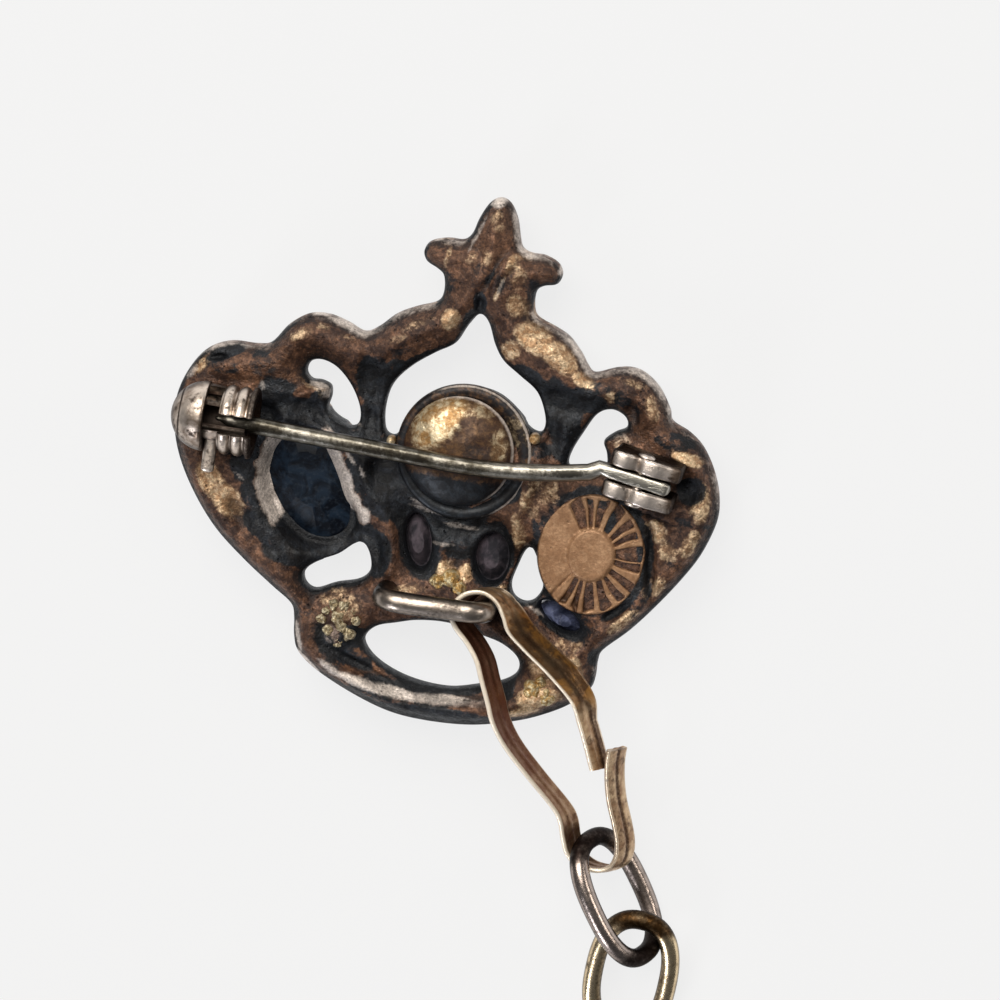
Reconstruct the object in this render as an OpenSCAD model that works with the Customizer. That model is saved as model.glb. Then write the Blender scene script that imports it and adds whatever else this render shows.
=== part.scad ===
// Crown brooch of a chatelaine, lying face down with its back and pin upward.
// Millimetres, +Z up from the surface it lies on, +Y towards the fleur at the top.

/* [Casting] */
// Width of the crown
crown_w = 27.8; // [24:0.1:34]
// Height of the crown
crown_h = 26.8; // [23:0.1:33]
// Level of the casting's front face
front_z = 1.4; // [1.2:0.1:2]
// Thickness of the casting at its edge
cast_t = 2.0; // [1.6:0.1:2.6]
// Step in from the edge where the casting rounds over
edge_in = 0.3; // [0.1:0.05:0.5]
// Height of the raised middle of each arch over the casting's edge
swell = 0.2; // [0.1:0.05:0.3]

/* [Cups] */
// Radius of the centre cup's rim
cup_r = 3.4; // [3:0.1:3.8]
// Radius of the dome that backs the centre cup
dome_r = 2.7; // [2.2:0.1:3]
// Height of that dome over the casting
dome_h = 1.4; // [1:0.1:1.5]
// Half width of the plaque that closes the right cup
plaque_a = 2.75; // [2.3:0.05:3]
// Half height of that plaque
plaque_b = 3.15; // [2.8:0.05:3.4]
// Ribs around the plaque
plaque_ribs = 14; // [8:1:20]

/* [Stones] */
// Half width of the left oval stone
oval_a = 2.5; // [2:0.05:2.7]
// Half height of the left oval stone
oval_b = 3.5; // [3:0.05:3.7]
// Gap between a stone and its seat
stone_gap = 0.05; // [0.03:0.01:0.1]

/* [Pin and catch] */
// Level of the pin, the rivet and the catch
pin_z = 5.4; // [5.2:0.1:6]
// Radius of the pin's wire
pin_r = 0.43; // [0.35:0.01:0.5]
// Radius of the catch's shell
catch_r = 1.75; // [1.6:0.05:2]
// Radius of the catch's turning sleeve
sleeve_r = 1.14; // [1:0.02:1.2]
// Radius of the hinge's rivet
rivet_r = 0.28; // [0.2:0.01:0.35]
// Running gap of the hinge and of the sleeve
run_gap = 0.05; // [0.03:0.01:0.09]

/* [Bail and chain] */
// Radius of the bail's wire
bail_r = 0.55; // [0.45:0.05:0.65]
// Level of the bail's bar
bail_z = 5.85; // [5.6:0.05:6.4]
// Thickness of the clip's ribbon
ribbon_t = 0.26; // [0.2:0.02:0.4]
// Radius of the links' wire
link_r = 0.475; // [0.4:0.025:0.55]
// Radius of a link's round ends, to the middle of the wire
link_bend = 1.9; // [1.7:0.05:2.2]
// Length of a link's straight sides
link_side = 2.7; // [2:0.1:3.5]

/* [Hidden] */
$fa = 6;
$fs = 0.15;
// the outlines below are drawn for a crown of this width and height
drawn_w = 27.8;
drawn_h = 26.3;
kx = crown_w / drawn_w;
ky = crown_h / drawn_h;
back_z = front_z + cast_t;
top_z = back_z + swell;
cup_at = [-0.05 * kx, 0.42 * ky];
plaque_at = [6.95 * kx, -3.62 * ky];
rivet_at = [8.95 * kx, 0.74 * ky, pin_z];
hinge_turn = -9;
root_w = 0.72;
root_front = 2.05;
// the pin's wire: a straight run out of the catch, then a long bow to the hinge
bow_at = [-1 * kx, 0.12 * ky, pin_z];
bow_r = 30 * kx;
bow_turn = 15.5;
run_turn = -2.1;
catch_far = 11.85 * kx;
catch_at = bow_at + catch_far * [-cos(run_turn), -sin(run_turn), 0];
// how far the pin's point stays short of the catch's half ball
tip_short = 0.45;
ear_w = 0.7;
ear_gap = 0.1;
ear_out = root_w / 2 + ear_gap + ear_w;
// brings the middle of the whole piece to the origin
frame_at = [0.26, 7.92, 0];
silver = [0.62, 0.58, 0.52];
dark = [0.36, 0.27, 0.2];
gilt = [0.78, 0.65, 0.48];
// how far the first link leans over on its long side
link_1_tilt = 54;
// how steeply the second link rises from the surface to the first
link_2_rise = 13;

// crown outline [x, y], clockwise from the fleur's tip
outline = [
  [-0.1, 12.95], [0.45, 12.75], [0.9, 12.05], [1.15, 11.2], [1.35, 10.7], [1.8, 10.5],
  [2.5, 10.48], [3.2, 10.2], [3.5, 9.7], [3.3, 9.18], [2.7, 9.0], [2.35, 8.7],
  [2.33, 8.0], [2.6, 7.45], [3.6, 7.05], [4.3, 6.7], [5.0, 6.0], [5.4, 5.45],
  [5.8, 5.17], [6.8, 5.55], [7.6, 5.68], [8.3, 5.5], [9.1, 4.9], [9.75, 3.95],
  [9.98, 3.38], [10.9, 2.95], [11.7, 2.3], [12.4, 1.2], [12.82, 0], [12.88, -1.2],
  [12.4, -2.8], [11.7, -4.1], [10.6, -5.7], [9.4, -7.2], [8.2, -8.4], [8.0, -9.0],
  [8.0, -9.8], [7.8, -10.5], [6.9, -11.4], [5.6, -12.15], [4.2, -12.7], [2.2, -13.2],
  [0, -13.35], [-2.0, -13.2], [-4.0, -12.6], [-6.0, -11.7], [-7.05, -10.9], [-7.38, -10.1],
  [-7.5, -9.2], [-7.75, -8.55], [-8.8, -7.85], [-10.4, -6.75], [-12.0, -5.45], [-13.3, -3.9],
  [-14.3, -2.2], [-14.8, -0.6], [-14.85, 0.9], [-14.4, 2.3], [-13.6, 3.4], [-12.5, 3.92],
  [-11.2, 3.98], [-10.45, 4.2], [-9.7, 5.2], [-8.8, 5.85], [-7.8, 5.98], [-6.8, 5.75],
  [-5.9, 5.42], [-5.2, 5.8], [-4.4, 6.55], [-3.5, 7.03], [-2.5, 7.45], [-2.25, 8.0],
  [-2.35, 8.75], [-2.7, 9.05], [-3.3, 9.35], [-3.5, 9.85], [-3.2, 10.35], [-2.4, 10.6],
  [-1.65, 10.64], [-1.25, 11.0], [-1.0, 11.8], [-0.6, 12.6]
];

// opening between the arches and the centre cup [x, y]
arch_hole = [
  [-0.3, 7.15], [-0.8, 6.5], [-1.3, 5.55], [-2.2, 4.95], [-3.3, 4.1], [-4.1, 3.1],
  [-4.35, 1.9], [-4.2, 0.8], [-3.75, 0.55], [-3.45, 0.9], [-3.05, 1.85], [-2.2, 2.75],
  [-1.2, 3.25], [0, 3.4], [1.2, 3.2], [2.3, 2.5], [3.1, 1.9], [3.6, 1.9],
  [3.65, 2.6], [3.1, 3.75], [2.1, 4.45], [1.2, 5.05], [0.65, 5.8], [0.2, 6.8]
];

// comma-shaped opening, upper left [x, y]
comma_hole = [
  [-8.5, 3.05], [-8.35, 3.55], [-7.8, 3.72], [-7.0, 3.45], [-6.2, 2.7], [-5.65, 1.75],
  [-5.55, 1.0], [-5.9, 0.68], [-6.7, 0.9], [-7.18, 1.35], [-7.1, 2.0], [-7.2, 2.5],
  [-7.7, 2.7], [-8.2, 2.7]
];

// opening beside the hinge, upper right [x, y]
wing_hole = [
  [6.2, 3.15], [6.9, 3.5], [7.6, 3.25], [7.75, 2.75], [7.2, 2.4], [6.72, 1.9],
  [6.95, 1.3], [6.95, 0.65], [6.1, 0.3], [5.2, 0.4], [5.2, 1.1], [5.65, 2.15]
];

// opening under the left oval [x, y]
slot_hole = [
  [-7.25, -6.85], [-6.7, -6.3], [-5.7, -5.8], [-5.0, -5.2], [-4.5, -5.0], [-4.1, -5.55],
  [-4.0, -6.3], [-4.5, -6.85], [-5.6, -7.2], [-6.6, -7.65], [-7.15, -7.4]
];

// drop-shaped opening beside the plaque [x, y]
drop_hole = [
  [3.9, -3.9], [4.25, -4.4], [4.6, -5.2], [4.72, -5.85], [4.4, -6.45], [3.9, -6.65],
  [3.35, -6.4], [3.15, -5.8], [3.35, -4.9], [3.6, -4.15]
];

// long opening in the base band [x, y]
band_hole = [
  [-3.8, -9.75], [-3.3, -9.05], [-2.3, -8.7], [-1.2, -8.4], [0.3, -8.3], [1.8, -8.6],
  [3.1, -8.9], [4.0, -9.5], [4.05, -10.2], [3.4, -10.75], [2.2, -11.15], [0.8, -11.5],
  [-0.8, -11.45], [-2.2, -11.1], [-3.3, -10.5]
];

// near edge of the clip's ribbon [x, y, z], from its inner end round to its outer end
ribbon_edge = [
  [8.56, -14.14, 4.3], [8.09, -12.88, 4.6], [7.62, -11.72, 4.95], [7.08, -10.69, 5.15],
  [5.74, -9.53, 5.15], [4.44, -8.58, 5.15], [3.5, -7.8, 5.15], [3.15, -7.1, 5.15],
  [2.8, -6.5, 5.12], [2.35, -6.15, 5.1], [1.8, -6.02, 5.1], [1.15, -6.2, 5.08],
  [0.7, -6.65, 5.05], [0.52, -7.3, 5.05], [0.8, -7.95, 5.05], [1.5, -8.65, 5.05],
  [2.1, -9.45, 5.08], [2.5, -10.39, 5.1], [2.93, -11.39, 5.1], [3.35, -12.42, 5.05],
  [4.09, -13.58, 4.65], [5.35, -14.98, 4.1], [6.8, -16.5, 3.4], [7.25, -17.2, 3.15],
  [7.5, -18.1, 2.85], [7.85, -18.95, 2.65], [8.5, -19.45, 2.55], [9.4, -19.55, 2.55],
  [10.05, -19.25, 2.65], [10.3, -18.6, 2.8], [10.25, -17.8, 3.0], [9.97, -16.85, 3.25],
  [9.6, -15.8, 3.5], [9.36, -14.73, 3.8], [9.25, -13.7, 4.1], [9.27, -13.0, 4.3]
];
// from the ribbon's near edge to its far edge
ribbon_w = [0.8, 0.05, -1.3];

// a point of the drawn crown, scaled to the crown's size
function at(p) = [p[0] * kx, p[1] * ky];

// one point of the curve through b and c, at t from 0 to 1
function curve(a, b, c, d, t) = b + 0.5 * t * (c - a + t * (2 * a - 5 * b + 4 * c - d
  + t * (3 * (b - c) + d - a)));

// closed smooth curve through the points, n steps between each pair
function smooth(p, n) = let (m = len(p))
  [for (i = [0:m - 1]) for (k = [0:n - 1])
    at(curve(p[(i + m - 1) % m], p[i], p[(i + 1) % m], p[(i + 2) % m], k / n))];

// ellipse of half sizes a and b
function ellipse(a, b, n = 48) = [for (i = [0:n - 1]) [a * cos(i * 360 / n), b * sin(i * 360 / n)]];

function unit(v) = v / norm(v);

module crown_shape() {
  difference() {
    polygon(smooth(outline, 2));
    polygon(smooth(arch_hole, 2));
    polygon(smooth(comma_hole, 2));
    polygon(smooth(wing_hole, 2));
    polygon(smooth(slot_hole, 2));
    polygon(smooth(drop_hole, 2));
    polygon(smooth(band_hole, 2));
  }
}

// one slice of the casting from level z0 to z1, its edge drawn in by the inset
module slice(z0, z1, inset) {
  translate([0, 0, z0])
    linear_extrude(z1 - z0)
      offset(delta = -inset)
        crown_shape();
}

module casting() {
  lip = cast_t / 5;
  slice(front_z, front_z + lip + 0.01, edge_in);
  slice(front_z + lip, back_z - lip, 0);
  slice(back_z - lip - 0.01, back_z, edge_in);
  slice(back_z - 0.01, top_z, 2 * edge_in + 0.1);
}

// part of a ball that rises h over a flat disc of radius r
module cap(r, h) {
  ball = (r * r + h * h) / (2 * h);
  intersection() {
    translate([0, 0, h - ball])
      sphere(ball);
    translate([0, 0, -0.5])
      cylinder(r = r, h = h + 1);
  }
}

// plain low boss on the front, on which the brooch lies
module boss(r) {
  rise = 0.5;
  translate([0, 0, rise])
    cylinder(r = r, h = front_z + 0.5 - rise);
  translate([0, 0, rise])
    mirror([0, 0, 1])
      cap(r - 0.35, rise);
}

// where the stones sit: place each child at its stone's centre and turn
module left_place() {
  translate([-7.6 * kx, -2.2 * ky, 0])
    rotate(30)
      children();
}

module small_left_place() {
  translate([-1.8 * kx, -4.45 * ky, 0])
    rotate(13)
      children();
}

module small_right_place() {
  translate([2.0 * kx, -4.7 * ky, 0])
    rotate(4)
      children();
}

module corner_place() {
  translate([5.9 * kx, -7.2 * ky, 0])
    rotate(-112)
      children();
}

// hole for a stone of half sizes a and b: open to the back, wider from the front up to its ledge
module seat(a, b) {
  translate([0, 0, front_z - 1])
    linear_extrude(cast_t + 3)
      polygon(ellipse(a - 0.1, b - 0.1));
  translate([0, 0, front_z - 1])
    linear_extrude(1.85)
      polygon(ellipse(a + stone_gap, b + stone_gap));
}

// faceted stone: table to the front, girdle in the seat, small flat to the back
module cut_stone(a, b, table_z, back, sides) {
  girdle_top = front_z + 0.8;
  hull() {
    translate([0, 0, table_z])
      linear_extrude(0.05)
        polygon(ellipse(a * 0.58, b * 0.58, sides));
    translate([0, 0, front_z + 0.1])
      linear_extrude(girdle_top - front_z - 0.1)
        polygon(ellipse(a, b, sides));
  }
  hull() {
    translate([0, 0, girdle_top - 0.1])
      linear_extrude(0.1)
        polygon(ellipse(a - 0.15, b - 0.15, sides));
    translate([0, 0, girdle_top + back])
      linear_extrude(0.05)
        polygon(ellipse(a * 0.42, b * 0.42, sides));
  }
}

module centre_cup() {
  translate([cup_at[0], cup_at[1], 0]) {
    translate([0, 0, back_z - 0.3])
      cylinder(r = cup_r, h = 0.65);
    translate([0, 0, back_z])
      cap(dome_r, dome_h);
    boss(cup_r - 0.2);
  }
}

module plaque() {
  translate([plaque_at[0], plaque_at[1], 0]) {
    translate([0, 0, back_z - 0.3])
      linear_extrude(0.5)
        polygon(ellipse(plaque_a, plaque_b));
    translate([0, 0, back_z])
      linear_extrude(0.42)
        polygon(ellipse(plaque_a * 0.44, plaque_b * 0.42));
    for (i = [0:plaque_ribs - 1]) {
      translate([0, 0, back_z])
        linear_extrude(0.35)
          polygon(rib(i * 360 / plaque_ribs));
    }
    boss(plaque_a - 0.05);
  }
}

// one rib of the plaque, from its hub to its rim at angle g, wider at the rim
function rib(g) = [for (s = [[0.4, -5], [0.93, -7], [0.93, 7], [0.4, 5]])
  [plaque_a * s[0] * cos(g + s[1]), plaque_b * s[0] * sin(g + s[1])]];

// collar round the left stone on the front
module left_collar() {
  left_place()
    translate([0, 0, front_z - 0.5])
      linear_extrude(0.6)
        polygon(ellipse(oval_a + 0.4, oval_b + 0.35));
}

// wire staple that the clip hangs on
module bail() {
  bend = 0.9;
  x0 = -2.9 * kx;
  x1 = 2.25 * kx;
  translate([x0 + bend, -6.96 * ky, bail_z])
    rotate([0, 90, 0])
      cylinder(r = bail_r, h = x1 - x0 - 2 * bend);
  for (s = [[x0, 180], [x1, 0]]) {
    translate([s[0], -6.96 * ky, back_z - 0.6])
      cylinder(r = bail_r, h = bail_z - bend - back_z + 0.6);
    translate([s[0], -6.96 * ky, bail_z - bend])
      rotate([0, 0, s[1]])
        translate([-bend, 0, 0])
          rotate([90, 0, 0])
            rotate_extrude(angle = 90)
              translate([bend, 0])
                circle(bail_r);
  }
}

// places a child drawn along +Z so that it lies along +X at the catch
module catch_place() {
  translate(catch_at)
    rotate([0, 90, 0])
      children();
}

// half ball, window for the lever, then a ridged barrel and rim, open on top for the pin
module catch_shell() {
  window = 0.8;
  barrel = 1.4;
  difference() {
    union() {
      sphere(catch_r);
      cylinder(r = catch_r - 0.12, h = window + barrel);
      for (i = [0:2]) {
        translate([0, 0, window + i * 0.47])
          cylinder(r = catch_r - 0.02, h = 0.34);
      }
      translate([0, 0, window + barrel])
        cylinder(r = catch_r + 0.05, h = 0.28);
      translate([0.6, -0.9, -1.1])
        cube([pin_z - back_z - 0.3, 1.8, 3.2]);
    }
    translate([0, 0, -1.05])
      cylinder(r = sleeve_r + run_gap, h = 5);
    translate([-3, -0.5, 0.4])
      cube([3, 1, 5]);
    rotate_extrude(angle = 190, start = 100)
      square([catch_r + 0.3, window]);
  }
}

// sleeve with a wide gap that lets the pin in, and the lever that turns it
module catch_sleeve() {
  color(silver)
    catch_place() {
      difference() {
        translate([0, 0, -1.0])
          cylinder(r = sleeve_r, h = 3.1);
        translate([0, 0, -1.5])
          cylinder(r = pin_r + 0.19, h = 5);
        translate([0, 0, -1.5])
          rotate_extrude(angle = 101, start = 104)
            square([sleeve_r + 0.3, 5]);
      }
      translate([-0.25, -2.5, 0.1])
        cube([0.5, 1.6, 0.6]);
      translate([-0.25, -2.5, 0.4])
        rotate([0, 90, 0])
          cylinder(r = 0.3, h = 0.5);
    }
}

// places a child drawn with the rivet along Y at the hinge
module hinge_place() {
  translate(rivet_at)
    rotate(hinge_turn)
      children();
}

module ear() {
  difference() {
    union() {
      translate([-1.45, 0, -(pin_z - back_z) - 0.3])
        cube([3.3, ear_w, pin_z - back_z + 0.3]);
      translate([-1.1, 0, -0.2])
        cube([2.6, ear_w, 0.8]);
      translate([-1.1, 0, 0])
        rotate([-90, 0, 0])
          cylinder(r = 0.6, h = ear_w);
      translate([1.25, 0, 0])
        rotate([-90, 0, 0])
          cylinder(r = 0.6, h = ear_w);
    }
    translate([0, -1, 0])
      rotate([-90, 0, 0])
        cylinder(r = rivet_r + 0.03, h = 3);
  }
}

module hinge_ears() {
  hinge_place() {
    translate([0, root_w / 2 + ear_gap, 0])
      ear();
    translate([0, -ear_out, 0])
      ear();
  }
}

// lumps of solder left on the back [x, y, radius, height over the casting's edge]
solder = [[0, -5.95, 0.85, 0.55], [5.0, -10.75, 0.6, 0.45], [5.7, -11.0, 0.6, 0.5],
  [-5.2, -9.0, 0.7, 0.4], [-4.6, -9.6, 0.6, 0.4], [-11.9, -3.3, 0.8, 0.35]];

module solder_lumps() {
  for (s = solder) {
    translate([s[0] * kx, s[1] * ky, back_z])
      cap(s[2], s[3]);
  }
}

module crown() {
  color(dark) {
    difference() {
      union() {
        casting();
        left_collar();
      }
      left_place()
        seat(oval_a, oval_b);
      small_left_place()
        seat(0.75, 1.5);
      small_right_place()
        seat(0.95, 1.35);
      corner_place()
        seat(0.7, 1.3);
    }
    centre_cup();
    plaque();
    solder_lumps();
  }
  color(silver) {
    bail();
    catch_place()
      catch_shell();
    hinge_ears();
  }
}

module left_stone() {
  color([0.12, 0.14, 0.2])
    left_place()
      cut_stone(oval_a, oval_b, 0, 0.7, 16);
}

module small_stone_left() {
  color([0.28, 0.27, 0.28])
    small_left_place()
      cut_stone(0.75, 1.5, 0.6, 0.5, 12);
}

module small_stone_right() {
  color([0.26, 0.25, 0.27])
    small_right_place()
      cut_stone(0.95, 1.35, 0.6, 0.5, 12);
}

module corner_stone() {
  color([0.2, 0.2, 0.32])
    corner_place()
      cut_stone(0.7, 1.3, 0.6, 0.5, 12);
}

module hinge_rivet() {
  color(silver)
    hinge_place() {
      translate([0, -ear_out - 0.04, 0])
        rotate([-90, 0, 0])
          cylinder(r = rivet_r, h = 2 * ear_out + 0.08);
      for (s = [-1, 1]) {
        translate([0, s * (ear_out + 0.11) - 0.08, 0])
          rotate([-90, 0, 0])
            cylinder(r = 0.45, h = 0.16);
      }
    }
}

module pin_stem() {
  point = 1.2;
  color(silver) {
    hinge_place()
      difference() {
        translate([-root_front, -root_w / 2, -0.5])
          cube([root_front + 1.6, root_w, 1]);
        translate([0, -1, 0])
          rotate([-90, 0, 0])
            cylinder(r = rivet_r + run_gap, h = 2);
      }
    translate(bow_at)
      rotate(run_turn) {
        translate([0, bow_r, 0])
          rotate_extrude(angle = bow_turn, start = -90)
            translate([bow_r, 0])
              circle(pin_r);
        rotate([0, -90, 0])
          cylinder(r = pin_r, h = catch_far - tip_short - point);
        translate([point - catch_far + tip_short, 0, 0])
          rotate([0, -90, 0])
            cylinder(r1 = pin_r, r2 = 0.12, h = point);
      }
  }
}

// curve through the ribbon's near edge, two steps between each pair of points
function ribbon_line() = let (p = ribbon_edge, m = len(p) - 1)
  [for (i = [0:2 * m]) let (k = min(floor(i / 2), m - 1))
    let (q = curve(p[max(k - 1, 0)], p[k], p[k + 1], p[min(k + 2, m)], (i - 2 * k) / 2))
      [q[0] * kx, q[1] * ky, q[2]]];

// the ribbon as a closed strip: each station has its two edges on both faces
module ribbon(line) {
  m = len(line) - 1;
  w = ribbon_w;
  side = [for (i = [0:m]) unit(cross(w, line[min(i + 1, m)] - line[max(i - 1, 0)])) * ribbon_t / 2];
  points = [for (i = [0:m]) for (q = [line[i] - side[i], line[i] + side[i],
    line[i] + w + side[i], line[i] + w - side[i]]) q];
  faces = concat([[3, 2, 1, 0]],
    [for (i = [0:m - 1]) for (k = [0:3]) let (a = 4 * i + k, b = 4 * i + (k + 1) % 4)
      [a, b, b + 4]],
    [for (i = [0:m - 1]) for (k = [0:3]) let (a = 4 * i + k, b = 4 * i + (k + 1) % 4)
      [a, b + 4, a + 4]],
    [[4 * m, 4 * m + 1, 4 * m + 2, 4 * m + 3]]);
  polyhedron(points, faces);
}

module clip() {
  color(gilt)
    ribbon(ribbon_line());
}

// oval wire link, flat in XY with its long side along Y
module oval_link() {
  for (s = [0, 180]) {
    rotate(s) {
      translate([0, link_side / 2, 0])
        rotate_extrude(angle = 180)
          translate([link_bend, 0])
            circle(link_r);
      translate([link_bend, link_side / 2, 0])
        rotate([90, 0, 0])
          cylinder(r = link_r, h = link_side);
    }
  }
}

module link_1() {
  color([0.55, 0.52, 0.5])
    translate([10.65 * kx, -20.8 * ky, link_bend * sin(link_1_tilt) + link_r])
      rotate([0, 0, 33])
        rotate([0, link_1_tilt, 0])
          oval_link();
}

module link_2() {
  color(gilt)
    translate([11.9 * kx, -24.9 * ky, (link_side / 2 + link_bend) * sin(link_2_rise) + link_r])
      rotate([link_2_rise, 0, -4])
        oval_link();
}

translate(frame_at) {
  crown();
  left_stone();
  small_stone_left();
  small_stone_right();
  corner_stone();
  hinge_rivet();
  pin_stem();
  catch_sleeve();
  clip();
  link_1();
  link_2();
}
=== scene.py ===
# Crown brooch of a chatelaine, lying face down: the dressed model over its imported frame.
# Shapes are worked out in millimetres with the crown's middle near the origin, then moved to the frame.
import math
import time

import bpy
import numpy as np
from mathutils import Matrix, Vector


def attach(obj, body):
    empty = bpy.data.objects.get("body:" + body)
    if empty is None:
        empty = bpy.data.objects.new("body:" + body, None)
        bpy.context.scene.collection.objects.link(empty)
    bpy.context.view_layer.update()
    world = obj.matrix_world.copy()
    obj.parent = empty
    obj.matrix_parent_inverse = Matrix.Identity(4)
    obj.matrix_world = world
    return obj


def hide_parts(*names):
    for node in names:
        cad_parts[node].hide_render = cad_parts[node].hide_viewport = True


started = time.time()


# one line for each stage, with the seconds since the start
def report(stage):
    print(stage, round(time.time() - started, 1), "s")


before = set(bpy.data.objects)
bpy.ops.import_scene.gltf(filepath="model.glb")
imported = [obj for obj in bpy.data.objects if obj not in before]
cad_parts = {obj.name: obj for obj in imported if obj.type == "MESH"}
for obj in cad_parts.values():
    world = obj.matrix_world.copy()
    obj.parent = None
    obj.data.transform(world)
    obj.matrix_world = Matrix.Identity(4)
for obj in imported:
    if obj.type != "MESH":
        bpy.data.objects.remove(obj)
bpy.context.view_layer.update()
report("frame loaded: " + str(len(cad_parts)) + " nodes")

kY = 26.8 / 26.3  # the tables below are drawn for a crown 26.3 mm high
frameAt = np.array([0.26, 7.92, 0.0])  # what brings the tables' points into the frame
footLevel = 2.9  # the cup, the plaque and the bail begin here, inside the casting

crownOutline = [
    [-0.1, 12.95], [0.45, 12.75], [0.9, 12.05], [1.15, 11.2], [1.35, 10.7], [1.8, 10.5],
    [2.5, 10.48], [3.2, 10.2], [3.5, 9.7], [3.3, 9.18], [2.7, 9.0], [2.35, 8.7],
    [2.33, 8.0], [2.6, 7.45], [3.6, 7.05], [4.3, 6.7], [5.0, 6.0], [5.4, 5.45],
    [5.8, 5.17], [6.8, 5.55], [7.6, 5.68], [8.3, 5.5], [9.1, 4.9], [9.75, 3.95],
    [9.98, 3.38], [10.9, 2.95], [11.7, 2.3], [12.4, 1.2], [12.82, 0], [12.88, -1.2],
    [12.4, -2.8], [11.7, -4.1], [10.6, -5.7], [9.4, -7.2], [8.2, -8.4], [8.0, -9.0],
    [8.0, -9.8], [7.8, -10.5], [6.9, -11.4], [5.6, -12.15], [4.2, -12.7], [2.2, -13.2],
    [0, -13.35], [-2.0, -13.2], [-4.0, -12.6], [-6.0, -11.7], [-7.05, -10.9], [-7.38, -10.1],
    [-7.5, -9.2], [-7.75, -8.55], [-8.8, -7.85], [-10.4, -6.75], [-12.0, -5.45], [-13.3, -3.9],
    [-14.3, -2.2], [-14.8, -0.6], [-14.85, 0.9], [-14.4, 2.3], [-13.6, 3.4], [-12.5, 3.92],
    [-11.2, 3.98], [-10.45, 4.2], [-9.7, 5.2], [-8.8, 5.85], [-7.8, 5.98], [-6.8, 5.75],
    [-5.9, 5.42], [-5.2, 5.8], [-4.4, 6.55], [-3.5, 7.03], [-2.5, 7.45], [-2.25, 8.0],
    [-2.35, 8.75], [-2.7, 9.05], [-3.3, 9.35], [-3.5, 9.85], [-3.2, 10.35], [-2.4, 10.6],
    [-1.65, 10.64], [-1.25, 11.0], [-1.0, 11.8], [-0.6, 12.6]]
openings = {
    "arch": [[-0.3, 7.15], [-0.8, 6.5], [-1.3, 5.55], [-2.2, 4.95], [-3.3, 4.1], [-4.1, 3.1],
             [-4.35, 1.9], [-4.2, 0.8], [-3.75, 0.55], [-3.45, 0.9], [-3.05, 1.85], [-2.2, 2.75],
             [-1.2, 3.25], [0, 3.4], [1.2, 3.2], [2.3, 2.5], [3.1, 1.9], [3.6, 1.9],
             [3.65, 2.6], [3.1, 3.75], [2.1, 4.45], [1.2, 5.05], [0.65, 5.8], [0.2, 6.8]],
    "comma": [[-8.5, 3.05], [-8.35, 3.55], [-7.8, 3.72], [-7.0, 3.45], [-6.2, 2.7], [-5.65, 1.75],
              [-5.55, 1.0], [-5.9, 0.68], [-6.7, 0.9], [-7.18, 1.35], [-7.1, 2.0], [-7.2, 2.5],
              [-7.7, 2.7], [-8.2, 2.7]],
    "wing": [[6.2, 3.15], [6.9, 3.5], [7.6, 3.25], [7.75, 2.75], [7.2, 2.4], [6.72, 1.9],
             [6.95, 1.3], [6.95, 0.65], [6.1, 0.3], [5.2, 0.4], [5.2, 1.1], [5.65, 2.15]],
    "slot": [[-7.25, -6.85], [-6.7, -6.3], [-5.7, -5.8], [-5.0, -5.2], [-4.5, -5.0], [-4.1, -5.55],
             [-4.0, -6.3], [-4.5, -6.85], [-5.6, -7.2], [-6.6, -7.65], [-7.15, -7.4]],
    "drop": [[3.9, -3.9], [4.25, -4.4], [4.6, -5.2], [4.72, -5.85], [4.4, -6.45], [3.9, -6.65],
             [3.35, -6.4], [3.15, -5.8], [3.35, -4.9], [3.6, -4.15]],
    "band": [[-3.8, -9.75], [-3.3, -9.05], [-2.3, -8.7], [-1.2, -8.4], [0.3, -8.3], [1.8, -8.6],
             [3.1, -8.9], [4.0, -9.5], [4.05, -10.2], [3.4, -10.75], [2.2, -11.15], [0.8, -11.5],
             [-0.8, -11.45], [-2.2, -11.1], [-3.3, -10.5]]}


# points of the tables, brought to the crown's real height
def drawn(points):
    p = np.array(points, float)
    p[..., 1] *= kY
    return p


# even steps from b to c along the cubic through both, with a and d as the points beyond them
def cubic(a, b, c, d, steps):
    t = (np.arange(steps) / steps)[None, :, None]
    out = b + 0.5 * t * (c - a + t * (2 * a - 5 * b + 4 * c - d + t * (3 * (b - c) + d - a)))
    return out.reshape(-1, out.shape[-1])


# closed curve through the points: every step is a cubic of the four points around it
def smoothLoop(points, steps):
    b = points[:, None, :]
    return cubic(np.roll(b, 1, 0), b, np.roll(b, -1, 0), np.roll(b, -2, 0), steps)


# open curve through the points, by the same cubic with the end points doubled
def smoothLine(points, steps):
    p = np.vstack([points[:1], points, points[-1:]])
    a, b, c, d = (p[i:len(p) - 3 + i, None, :] for i in range(4))
    return np.vstack([cubic(a, b, c, d, steps), p[-1:]])


# 0 at low, 1 at high, t squared times (3 - 2t) between them
def smoothStep(x, low, high):
    t = np.clip((x - low) / (high - low), 0, 1)
    return t * t * (3 - 2 * t)


# random heights on a lattice, blended by smooth steps: about -1 to 1
def softNoise(x, y, size, seed):
    rows, cols, shift = 97, 89, 500.0
    heights = np.random.default_rng(seed).uniform(-1, 1, (rows, cols))
    u, v = x / size + shift, y / size + shift
    i, j = np.floor(u).astype(int), np.floor(v).astype(int)
    f, g = u - i, v - j
    f, g = f * f * (3 - 2 * f), g * g * (3 - 2 * g)
    at = lambda k, m: heights[(i + k) % rows, (j + m) % cols]
    return (at(0, 0) * (1 - f) * (1 - g) + at(1, 0) * f * (1 - g)
            + at(0, 1) * (1 - f) * g + at(1, 1) * f * g)


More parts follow.
